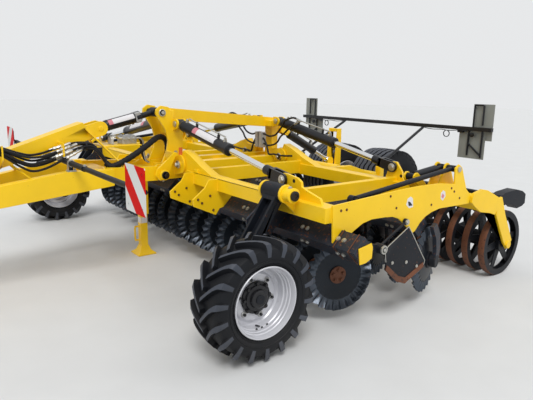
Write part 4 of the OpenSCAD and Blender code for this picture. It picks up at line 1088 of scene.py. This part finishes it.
class HARROW_OT_hoses(Operator):
    """Hydraulic hoses on the drawbar with their couplings, and the wrapped bundle that runs on from it."""

    bl_idname = "harrow.hoses"
    bl_label = "Hoses"

    def execute(self, context):
        radius = context.scene.harrow_sizes.hose_diameter / 2
        pile = Pile()
        for k, route in enumerate(hose_routes()):
            path = smoothed(route, 7)
            pile.add(pipe(path, radius, 10))
            # Screwed coupling with its hexagons, near the holder
            place = 62 + 3 * (k % 3)
            a, b = path[place + 8], path[place]
            pile.add(stack(a, b, [(-0.02, 0.011), (-0.016, 0.0135), (0.01, 0.0135), (0.012, 0.0115),
                (0.04, 0.0115), (0.042, 0.016), (0.062, 0.016), (0.065, 0.013), (0.092, 0.013),
                (0.096, 0.0105), (0.1, 0.016), (0.12, 0.016), (0.122, 0.0105), (0.15, 0.0105),
                (0.152, 0.0095)], 6), 1)
            # Plug at the front end, in the rack
            pile.add(solid(path[0], path[0] + (0.1, -0.02, -0.03),
                [(-0.03, 0.013), (0.0, 0.013), (0.002, 0.016), (0.02, 0.016), (0.022, 0.013),
                (0.045, 0.013)], 16), (1 if k % 2 else 2))
        # Ties round the hoses
        for at, wide, high in (((1.2, 0.19, 1.115), 0.032, 0.036), ((0.25, 0.175, 1.12), 0.035, 0.038)):
            ring = [(wide * math.cos(t), high * math.sin(t)) for t in np.radians(np.arange(0, 360, 24))]
            pile.add(plate(ring, 0.014, at, (0, 1, 0), (0, 0, 1)))
        obj = pile.make("drawbar_hoses", "drawbar", ("rubber", "zinc", "red"), angle=35)
        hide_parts("hose_bundle")

        rack = Pile()
        rack.add(plate([(0.055, 0.7), (0.055, 0.97), (0.165, 0.97), (0.165, 0.86), (0.078, 0.78),
            (0.078, 0.7)], 0.008, (1.845, 0, 0), (0, 1, 0), (0, 0, 1)))
        rack.make("hose_rack", "drawbar", ("paint",), bevel=0.0015)

        path = smoothed([(0.1, 0.205, 0.975), (0.065, 0.232, 0.948), (0.01, 0.248, 0.962),
            (-0.06, 0.25, 0.995), (-0.16, 0.238, 1.045), (-0.26, 0.215, 1.098), (-0.35, 0.165, 1.14),
            (-0.43, 0.1, 1.16), (-0.5, 0.055, 1.15), (-0.545, 0.04, 1.1), (-0.55, 0.035, 1.0),
            (-0.55, 0.035, 0.902)], 8)
        wave = 0.0255 + 0.0015 * np.sin(np.arange(len(path)) * 2.0)
        bundle = Pile()
        bundle.add(pipe(path, wave, 20))
        obj = bundle.make("wrapped_bundle", None, ("sleeve",), angle=60)
        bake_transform(obj)
        return {"FINISHED"}


class HARROW_OT_valves(Operator):
    """Valve block on its shelf, with coils, fittings and bent pipes."""

    bl_idname = "harrow.valves"
    bl_label = "Valve block"

    def execute(self, context):
        low, high = spot("valve_block")
        mid = (low + high) / 2
        top = high[2]
        pile = Pile()
        pile.add(block((low[0], -0.06, low[2]), (high[0], 0.06, top - 0.012)))
        pile.add(block((low[0] + 0.012, -0.05, top - 0.014), (high[0] - 0.012, 0.05, top - 0.004)))
        for y in (-1, 1):
            for x in np.linspace(low[0] + 0.022, high[0] - 0.022, 3):
                pile.add(solid((x, y * 0.058, mid[2] + 0.004), (x, y * 0.1, mid[2] + 0.004),
                    [(0, 0.013), (0.007, 0.013), (0.008, 0.01), (0.016, 0.01), (0.018, 0.013),
                    (0.0265, 0.013)], 6), 1)
        for x in (low[0] + 0.035, high[0] - 0.035):
            pile.add(solid((x, 0, top - 0.006), (x, 0, top + 0.1), [(0, 0.016), (0.006, 0.016)], 20), 2)
        for k, y in enumerate((0.03, 0.0, -0.03)):
            drop = smoothed([(low[0] + 0.004, y, mid[2]), (low[0] - 0.045, y, mid[2] + 0.004),
                (low[0] - 0.075, y, mid[2] - 0.03), (low[0] - 0.08, y, mid[2] - 0.12),
                (low[0] - 0.1, y * 0.6, 0.955), (low[0] - 0.135, y * 0.4, 0.925)], 5)
            pile.add(pipe(drop, 0.0085, 8), 3 if k else 1)
        for y in (0.045, 0.015, -0.02, -0.05):
            rise = smoothed([(high[0] - 0.004, y, mid[2] + 0.01), (high[0] + 0.03, y, mid[2] + 0.014),
                (high[0] + 0.055, y + 0.01, mid[2] + 0.03), (high[0] + 0.085, y + 0.02, mid[2] + 0.012),
                (high[0] + 0.092, y + 0.03, low[2] + 0.002)], 5)
            pile.add(pipe(rise, 0.0075, 8), 1)
            pile.add(button(rise[0], rise[0] + (0.1, 0, 0), 0.013, 0.02, (0.002, 0.003), 6), 1)
        obj = pile.make("valve_stack", "drawbar", ("alloy", "zinc", "black", "rubber"), bevel=0.0015)
        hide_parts("valve_block")
        return {"FINISHED"}


def sign_half(pile):
    """Half of the telescopic tube in three steps, with its clamps and the arms of a board."""
    x, z = 0.42, 1.01
    pile.add(stack((x, 0.0, z), (x, 1.0, z), [(0, 0.0225), (0.62, 0.0225), (0.62, 0.024), (0.655, 0.024),
        (0.655, 0.019), (1.5, 0.019), (1.5, 0.0225), (1.515, 0.0225), (1.515, 0.017), (1.7, 0.017)], 24))
    pile.add(stack((x, 0.322, z), (x, 1.0, z), [(0, 0.0215), (0, 0.029), (0.022, 0.029), (0.022, 0.0215)],
        24), 2)
    for way in (-1, 1):
        pile.add(block((x + way * 0.0275 - 0.0025, 0.322, 0.955), (x + way * 0.0275 + 0.0025, 0.344, z)), 2)
    pile.add(block((x - 0.034, 0.3, 0.9453), (x + 0.034, 0.348, 0.957)), 2)
    pile.add(block((x - 0.012, 0.305, 0.957), (x + 0.012, 0.343, 0.989)))
    pile.stand(bolt(0.018, 0.6, 0.2), [(x, 0.34, z + 0.018), (x, 0.66, z + 0.019)], (0, 0, 1), 2)
    for y in (1.56, 1.66):
        pile.add(block((x + 0.01, y - 0.014, z - 0.012), (x + 0.03, y + 0.014, z + 0.012)))
    for y in (1.52, 1.7):
        pile.add(block((x + 0.02, y, z - 0.1), (x + 0.0299, y + 0.025, z + 0.12)))
    return pile


def sign_face(pile):
    """Thin plate with rounded corners and small rivets."""
    low, high = spot("sign_boards")
    half, mid_y, mid_z = 0.141, 1.635, (low[2] + high[2]) / 2
    turn_r = 0.012
    outline = []
    for cy, cz, start in ((1, 1, 0), (-1, 1, 90), (-1, -1, 180), (1, -1, 270)):
        for t in np.radians(np.arange(start, start + 91, 30)):
            outline.append((mid_y + cy * (half - turn_r) + turn_r * math.cos(t),
                mid_z + cz * (half - turn_r) + turn_r * math.sin(t)))
    pile.add(plate(outline, high[0] - low[0], ((low[0] + high[0]) / 2, 0, 0), (0, 1, 0), (0, 0, 1)))
    dots = [(high[0] - 0.0002, mid_y + u, mid_z + v) for u in (-0.1, 0.1) for v in (-0.1, 0.1)]
    rivet = solid((0, 0, 0), (0, 0, 1), [(0, 0.006), (0.0002, 0.005)], 10)
    pile.stand(rivet, dots, (1, 0, 0), 1)
    return pile


def light_half(pile):
    """Half of the light bar: square tube, frames of thin tube, a stay, a lamp, a cable and its coil."""
    x, z = -3.58, 1.22
    pile.add(block((x - 0.02, 0.0, z - 0.02), (x + 0.02, 1.5, z + 0.02)))
    stay = [(-2.83, 0.66, 0.812), (-2.86, 0.659, 0.828), (-3.55, 0.641, 1.185), (-3.58, 0.64, 1.204)]
    pile.add(pipe(stay, 0.016, 16))
    pile.add(block((-2.85, 0.625, 0.79), (-2.8, 0.695, 0.806)))
    pile.stand(bolt(0.02), [(-2.812, 0.637, 0.806), (-2.812, 0.683, 0.806)], (0, 0, 1), 1)
    face = x - 0.01
    upper = [(1.27, 1.225), (1.27, 1.467), (1.275, 1.4748), (1.372, 1.4748), (1.378, 1.467), (1.378, 1.26)]
    lower = [(1.225, 1.215), (1.225, 0.93)]
    brace = [(1.225, 1.06), (1.385, 0.935)]
    outer = [(1.385, 1.215), (1.385, 0.915)]
    for line in (upper, lower, brace, outer):
        pile.add(pipe([(face, y, h) for y, h in line], 0.01, 8))
    pile.add(block((x - 0.012, 1.1, 1.172), (x + 0.016, 1.17, 1.2)))
    lamp = stack((x + 0.003, 1.275, 1.155), (x + 1, 1.275, 1.155),
        [(0, 0.022), (0.004, 0.026), (0.012, 0.026), (0.015, 0.0)], 20)
    pile.add(lamp)
    # Cable that hangs below the bar and winds once round a small coil
    t = np.linspace(0, 4 * np.pi, 40)
    coil = np.stack([x + 0.028 + 0 * t, 0.975 + 0.036 * np.sin(t), 1.15 + 0.036 * np.cos(t)], -1)
    coil[:, 0] += 0.008 * t / t[-1]
    start = smoothed([(x + 0.022, 0.66, 1.197), (x + 0.024, 0.78, 1.186), (x + 0.026, 0.9, 1.192)], 6)
    finish_run = smoothed([(x + 0.034, 1.04, 1.188), (x + 0.022, 1.12, 1.196), (x + 0.022, 1.22, 1.196)], 6)
    pile.add(pipe(np.vstack([start, coil, finish_run]), 0.0045, 6), 2)
    return pile


def light_back(pile):
    """Two thin boards, striped on their rear side, and three lamps on the lower one."""
    face = spot("light_boards")[1][0]
    for at, y0, y1, z0, z1 in ((face - 0.008, 1.248, 1.488, 1.1, 1.485),
            (face, 1.106, 1.419, 0.895, 1.228)):
        pile.add(block((at - 0.003, y0, z0), (at, y1, z1)))
        pile.add(block((at - 0.0036, y0 + 0.006, z0 + 0.006), (at - 0.0028, y1 - 0.006, z1 - 0.006)), 3)
    for y, mark in ((1.15, 1), (1.215, 2), (1.28, 1)):
        pile.add(stack((face - 0.003, y, 1.0), (face - 1, y, 1.0),
            [(0, 0.0), (0, 0.03), (0.006, 0.03), (0.011, 0.022), (0.0125, 0.0)], 24), mark)
    return pile


class HARROW_OT_signs(Operator):
    """Warning boards at the front on their telescopic tube, and the light bar at the rear."""

    bl_idname = "harrow.signs"
    bl_label = "Signs and lights"

    def execute(self, context):
        rows = (
            # Builder, name, body, finishes, node, bevel
            (sign_half, "sign_tube", "drawbar", ("steel", "paint", "zinc"), "sign_bar", 0.001),
            (sign_face, "striped_board", "drawbar", ("board", "zinc"), "sign_boards", 0),
            (light_half, "light_rig", "transport_frame", ("black", "zinc", "rubber"), "light_bar", 0.001),
            (light_back, "lamp_board", "transport_frame", ("grey", "red", "orange", "board_rear"),
                "light_boards", 0.001))
        for build, name, body, finishes, node, bevel in rows:
            for _, side, pile in halves(build):
                obj = pile.make(f"{name}_{side}", body, finishes, bevel)
                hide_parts(node)
        return {"FINISHED"}


SIDE_PLATE = 2.2


def wing_details(pile):
    """Bolts, pins, caps and blank labels on a wing's frame."""
    rusty = bolt(0.014, 0.5, 0.0)
    # Bolts near the point of each front hanger, on both faces
    for y in (0.53, 0.92, 1.65):
        spots = [(-0.36, 0.74), (-0.395, 0.708), (-0.5, 0.64), (-0.47, 0.76)]
        pile.stand(rusty, [(u, y + 0.015, v) for u, v in spots], (0, 1, 0), 5)
        pile.stand(rusty, [(u, y, v) for u, v in spots], (0, -1, 0), 5)
    # Pin ends of the hinges
    for x in FOLD_X:
        for way in (-1, 1):
            at = np.array((x + way * 0.078, 0.3, 0.93))
            pile.add(button(at, at + (way, 0, 0), 0.036, 0.012, (0.004, 0.004), 28), 1)
            pile.stand(bolt(0.034, 0.5, 0.0), [at + (way * 0.012, 0, 0)], (way, 0, 0), 1)
    # Outer end of the gauge wheel's pivot
    at = np.array((-0.47, 1.965, 0.938))
    pile.add(stack(at - (0, 0.012, 0), at + (0, 1, 0),
        [(0, 0.047), (0.002, 0.05), (0.012, 0.05), (0.014, 0.047)], 32))
    pile.add(solid(at, at + (0, 1, 0), [(0, 0.033), (0.016, 0.033), (0.018, 0.029), (0.018, 0.018),
        (0.012, 0.016)], 32), 2)
    pile.stand(bolt(0.018, 0.5, 0.2), [(-0.47, 1.925, 0.983)], (0, 0, 1), 1)
    # Bolts through the outer side plate
    spots = [(-0.66, 0.865), (-0.71, 0.865), (-1.84, 0.89), (-1.88, 0.86), (-1.6, 0.79), (-1.13, 0.905),
        (-1.2, 0.815), (-1.96, 0.8)]
    pile.stand(bolt(0.011, 0.4, 0.2), [(u, SIDE_PLATE, v) for u, v in spots], (0, 1, 0), 5)
    # Dark holes, as shallow plugs
    dark = solid((0, 0, 0), (0, 0, 1), [(0, 0.013), (0.0008, 0.013)], 20)
    pile.stand(dark, [(-0.5899, 1.82, 1.003), (-1.7399, 1.8, 0.935)], (1, 0, 0), 2)
    # Pin of the depth lever
    at = np.array((-1.918, SIDE_PLATE, 1.028))
    pile.add(button(at, at + (0, 1, 0), 0.022, 0.01, (0.002, 0.003), 24), 1)
    labels = (
        # Outline, thickness, finish
        ([(-1.385, 0.8), (-1.375, 0.862), (-1.35, 0.88), (-1.318, 0.868), (-1.305, 0.825), (-1.34, 0.795)],
            0.0006, 3),
        ([(-1.378, 0.812), (-1.345, 0.842), (-1.322, 0.846), (-1.335, 0.812)], 0.0012, 2),
        ([(-1.77, 0.835), (-1.762, 0.87), (-1.735, 0.884), (-1.708, 0.866), (-1.712, 0.822),
            (-1.74, 0.804)], 0.0006, 3),
        ([(-1.755, 0.842), (-1.728, 0.862), (-1.716, 0.836), (-1.74, 0.82)], 0.0012, 4))
    for outline, thick, mark in labels:
        pile.add(plate(outline, thick, (0, SIDE_PLATE + 0.0003, 0)), mark)
    return pile


REAR_HOSE_X = FOLD_X[1] + 0.095
REAR_HOSE_RADIUS = 0.0095


def cylinder_hoses(pile):
    """Two hoses that rise beside the rear fold cylinder and loop over its foot to its ports."""
    loops = ([(0.03, 1.1), (0.06, 1.142), (0.15, 1.126), (0.255, 1.148), (0.335, 1.215), (0.385, 1.268),
        (0.4, 1.296), (0.47, 1.322), (0.545, 1.334), (0.62, 1.314)],
        [(0.06, 1.04), (0.13, 1.028), (0.225, 1.045), (0.29, 1.08), (0.33, 1.13), (0.4, 1.178),
        (0.45, 1.215), (0.52, 1.256), (0.58, 1.29)])
    for k, loop in enumerate(loops):
        path = smoothed([(REAR_HOSE_X - 0.004 * k, y, z) for y, z in loop], 6)
        pile.add(pipe(path, REAR_HOSE_RADIUS, 10))
        pile.add(solid(path[-1], path[-1] + (path[-1] - path[-4]),
            [(-0.035, 0.012), (0.0, 0.012), (0.002, 0.014), (0.016, 0.014), (0.018, 0.009), (0.03, 0.009)],
            6), 1)
    return pile


def wing_hose(pile):
    """Hose that drops from the frame and follows the wing's beam across the hinge."""
    run = [(0.04, 1.11), (0.09, 1.07), (0.13, 1.005), (0.16, 0.942), (0.24, 0.948), (0.33, 0.945),
        (0.44, 0.952), (0.53, 0.962)]
    pile.add(hose([(REAR_HOSE_X + 0.006, y, z) for y, z in run], REAR_HOSE_RADIUS, 10, 6))
    return pile


def hose_clamp(pile):
    """Upright block on the frame that the rear hoses come out of."""
    pile.add(block((REAR_HOSE_X - 0.03, 0.012, 1.0), (REAR_HOSE_X + 0.03, 0.058, 1.16)))
    return pile


def jack_details():
    """Pale ring below the jack's socket, and the round handle with bent ends."""
    cx, cy = -0.38, -0.185
    half, cut = 0.0352, 0.0312
    pile = Pile()
    ring = [(-cut, -half), (cut, -half), (half, -cut), (half, cut), (cut, half), (-cut, half), (-half, cut),
        (-half, -cut)]
    pile.add(capped(np.array([[(cx + u, cy + v, z) for u, v in ring] for z in (0.312, 0.368)])), 1)
    loop = [(0.03, 0.278), (0.066, 0.278), (0.081, 0.272), (0.0835, 0.255), (0.0835, 0.165), (0.081, 0.148),
        (0.066, 0.142), (0.03, 0.142)]
    pile.add(pipe([(cx + u, cy, z) for u, z in loop], 0.0085, 10))
    return pile


def deflector_details(pile):
    """Rusty blade along a deflector's lower edge, a pale worn rim, and bright bolts."""
    y = 2.308
    lower = np.array([(-0.991, 0.437), (-1.115, 0.332), (-1.204, 0.298), (-1.408, 0.382)])
    upper = np.array([(-1.4, 0.415), (-1.21, 0.34), (-1.13, 0.368), (-1.005, 0.47)])
    pile.add(plate(np.vstack([lower, upper]), 0.006, (0, y + 0.003, 0)))
    rim = [(-1.211, y, 0.704), (-1.262, y, 0.64), (-1.37, y, 0.492), (-1.422, y, 0.424), (-1.406, y, 0.386)]
    pile.add(pipe(rim, 0.0035, 6), 1)
    rim = [(-1.211, y, 0.704), (-1.014, y, 0.603), (-0.979, y, 0.576), (-0.994, y, 0.492)]
    pile.add(pipe(rim, 0.003, 6), 1)
    pile.stand(bolt(0.015, 0.4, 0.2), [(-1.06, y, 0.475), (-1.21, y, 0.452), (-1.33, y, 0.4)], (0, 1, 0), 2)
    pile.stand(bolt(0.036, 0.0, 0.3), [(-0.946, 2.32, 0.591)], (0, 1, 0), 2)
    pile.stand(bolt(0.024, 0.5, 0.3), [(-0.946, 2.322, 0.591), (-1.3, 2.222, 0.705)], (0, 1, 0), 2)
    return pile


def beam_details(pile):
    """Bolts of the clamps on the disc beams, and the sleeve at the front beam's outer end."""
    half, z = 0.0919, 0.645
    for x, places in ((-0.68, (0.25, 0.74, 1.2, 1.9, 2.24)), (-1.5, (0.25, 0.74, 1.3, 1.95))):
        for y in places:
            for s, w in ((1, 1), (1, -1), (-1, -1)):
                at = np.array((x + s * half / 2, y, z + w * half / 2))
                out = np.array((s, 0, w)) / math.sqrt(2)
                pile.stand(bolt(0.02, 0.5, 0.25), [at + (0, dy, 0) for dy in (-0.025, 0.025)], out, 1)
    # Sleeve round the outer end
    for y0, y1 in ((2.215, 2.222), (2.34, 2.347)):
        rim = half + 0.006
        ring = [(rim, 0), (0, rim), (-rim, 0), (0, -rim)]
        pile.add(plate(ring, y1 - y0, (-0.68, (y0 + y1) / 2, z)))
    return pile


def frame_details():
    """Pin ends, bolts and blank labels of the centre frame and tower."""
    pile = Pile()
    for s in (-1, 1):
        # Drawbar pin: collar, dark ring and nut
        at = np.array((-0.35, s * 0.384, 0.86))
        out = np.array((0, s, 0))
        pile.add(stack(at, at + out, [(0, 0.045), (0.006, 0.045), (0.008, 0.04), (0.008, 0.0)], 32))
        pile.add(button(at + out * 0.006, at + out, 0.034, 0.016, (0.002, 0.004), 32), 2)
        pile.stand(bolt(0.034, 0.4, 0.0), [at + out * 0.022], out, 2)
        # Tower's top pin
        at = np.array((LINK_TOWER[0], s * 0.15, LINK_TOWER[2]))
        pile.add(button(at, at + out, 0.033, 0.01, (0.003, 0.003), 32), 1)
        pile.stand(bolt(0.03, 0.4, 0.0), [at + out * 0.01], out, 1)
        # Pins of the fold cylinders' bases
        for x in FOLD_X:
            for way in (-1, 1):
                at = np.array((x + way * 0.052, s * FOLD_BASE[0], FOLD_BASE[1]))
                pile.add(button(at, at + (way, 0, 0), 0.027, 0.01, (0.002, 0.003), 28), 1)
        # Bolted plates on the tower's foot
        spots = [(-0.575, s * 0.15, 0.965), (-0.575, s * 0.15, 1.02)]
        pile.stand(bolt(0.022), spots, (0, s, 0), 1)
        pile.add(plate([(-0.646, 0.975), (-0.646, 1.062), (-0.608, 1.062), (-0.608, 0.975)], 0.0008,
            (0, s * 0.1503, 0)), 3)
    return pile


class HARROW_OT_details(Operator):
    """Bolts, pin ends, caps and blank labels."""

    bl_idname = "harrow.details"
    bl_label = "Bolts, pins and labels"

    def execute(self, context):
        both(wing_details, "wing_fittings", "wing_{side}",
            ("paint", "zinc", "black", "label", "pink", "rust"), angle=35)
        both(deflector_details, "deflector_blade", "wing_{side}", ("rust", "zinc", "zinc"), angle=35)
        both(beam_details, "beam_fittings", "wing_{side}", ("rust", "zinc"), angle=35)
        jack_details().make("jack_fittings", "jack", ("paint", "label"), angle=35)
        both(hose_clamp, "hose_clamp", "frame", ("alloy",), bevel=0.002)
        rows = (
            # Builder, name, body, and where a bend would start and end in Y and Z
            (cylinder_hoses, "cylinder_hoses", "fold_barrels", (0.1, 1.13), (0.42, 1.28)),
            (wing_hose, "wing_hose", "wing", (0.17, 0.94), (0.43, 0.95)))
        for build, name, body, start, end in rows:
            for sign, side, pile in halves(build):
                obj = pile.make(f"{name}_{side}", None, ("rubber", "alloy"), angle=35)
                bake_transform(obj)
        frame_details().make("frame_fittings", "frame", ("paint", "zinc", "black", "orange"), angle=35)
        return {"FINISHED"}


class HARROW_OT_stage(Operator):
    """Pale floor, soft light and the camera at the photograph's angle."""

    bl_idname = "harrow.stage"
    bl_label = "Stage"

    def execute(self, context):
        scene = context.scene
        scene.view_settings.view_transform = "Standard"
        a = np.linspace(0, 2 * np.pi, 96, endpoint=False)
        r = np.array([0.0, 8.0, 60.0])[:, None]
        disc = np.stack([r * np.cos(a), r * np.sin(a), 0 * r * a], -1)
        verts, faces = grid(disc)
        mesh = bpy.data.meshes.new("floor")
        mesh.from_pydata(verts, [], faces)
        floor = bpy.data.objects.new("floor", mesh)
        scene.collection.objects.link(floor)
        m = bpy.data.materials.new("Pale floor")
        m.use_nodes = True
        n = Nodes(m.node_tree)
        shader = m.node_tree.nodes["Principled BSDF"]
        place = m.node_tree.nodes.new("ShaderNodeTexCoord").outputs["Object"]
        n.put(shader.inputs["Base Color"], n.mix(n.noise(place, 3.0, 6.0), (0.6, 0.6, 0.59, 1),
            (0.66, 0.66, 0.65, 1)))
        shader.inputs["Roughness"].default_value = 0.85
        mesh.materials.append(m)

        world = bpy.data.worlds.new("Overcast")
        scene.world = world
        world.use_nodes = True
        n = Nodes(world.node_tree)
        tree = world.node_tree
        out = tree.nodes["World Output"]
        plain = tree.nodes["Background"]
        plain.inputs["Color"].default_value = (0.93, 0.96, 1.0, 1)
        plain.inputs["Strength"].default_value = 0.72
        seen = n.new("ShaderNodeBackground", Color=(0.8, 0.81, 0.82, 1), Strength=1.0)
        path = tree.nodes.new("ShaderNodeLightPath")
        shown = n.math("MAXIMUM", path.outputs["Is Camera Ray"],
            n.math("MAXIMUM", path.outputs["Is Glossy Ray"], path.outputs["Is Transmission Ray"]))
        blend = tree.nodes.new("ShaderNodeMixShader")
        n.put(blend.inputs[0], shown)
        n.put(blend.inputs[1], plain.outputs[0])
        n.put(blend.inputs[2], seen.outputs[0])
        n.put(out.inputs["Surface"], blend.outputs[0])

        for name, power, spread_angle, turn_to in (("Key", 1.7, 22, (-0.55, -0.75, -1.25)),
                ("Fill", 0.5, 60, (0.9, -0.3, -0.8))):
            light = bpy.data.lights.new(name, "SUN")
            light.energy = power
            light.angle = math.radians(spread_angle)
            lamp = bpy.data.objects.new(name, light)
            lamp.rotation_euler = Vector(turn_to).to_track_quat("-Z", "Y").to_euler()
            scene.collection.objects.link(lamp)

        # The camera's right, down and forward directions, its place, and its focal length in pixels
        # of a picture of this width
        rows = Matrix(((-0.79685, 0.60391, 0.01786), (0.1126, 0.17749, -0.97766),
            (-0.59359, -0.77704, -0.20944)))
        eye = (1.625 + DATUM, 4.42, 1.6)
        focal, width = 516.6, 533
        lens = bpy.data.cameras.new("Camera")
        lens.sensor_width = 36.0
        lens.lens = focal / width * lens.sensor_width
        lens.clip_start, lens.clip_end = 0.1, 200.0
        camera = bpy.data.objects.new("Camera", lens)
        right, down, ahead = (rows[i].normalized() for i in range(3))
        camera.matrix_world = Matrix((*[(right[i], -down[i], -ahead[i], eye[i]) for i in range(3)],
            (0, 0, 0, 1)))
        scene.collection.objects.link(camera)
        scene.camera = camera
        return {"FINISHED"}


class HARROW_PT_pieces(Panel):
    """Lists the pieces of the harrow."""

    bl_idname = "HARROW_PT_pieces"
    bl_label = "Disc harrow"
    bl_space_type = "VIEW_3D"
    bl_region_type = "UI"
    bl_category = "Harrow"

    def draw(self, context):
        column = self.layout.column()
        for group in (context.scene.harrow_sizes, context.scene.harrow_colours):
            for name in group.__annotations__:
                column.prop(group, name)
        for operator in OPERATORS:
            column.operator(operator.bl_idname)


OPERATORS = (HARROW_OT_stage, HARROW_OT_frames, HARROW_OT_gauge_wheels, HARROW_OT_transport_wheels,
    HARROW_OT_discs, HARROW_OT_rollers, HARROW_OT_fold_cylinders, HARROW_OT_middle_cylinders,
    HARROW_OT_hoses, HARROW_OT_valves, HARROW_OT_signs, HARROW_OT_details)
CLASSES = (HarrowSizes, HarrowColours, *OPERATORS, HARROW_PT_pieces)


def register():
    for cls in CLASSES:
        bpy.utils.register_class(cls)
    bpy.types.Scene.harrow_sizes = PointerProperty(type=HarrowSizes)
    bpy.types.Scene.harrow_colours = PointerProperty(type=HarrowColours)


def unregister():
    del bpy.types.Scene.harrow_colours
    del bpy.types.Scene.harrow_sizes
    for cls in reversed(CLASSES):
        bpy.utils.unregister_class(cls)


def main():
    register()
    make_finishes()
    paint_solids()
    for operator in OPERATORS:
        group, name = operator.bl_idname.split(".")
        getattr(getattr(bpy.ops, group), name)()


if __name__ == "__main__":
    main()
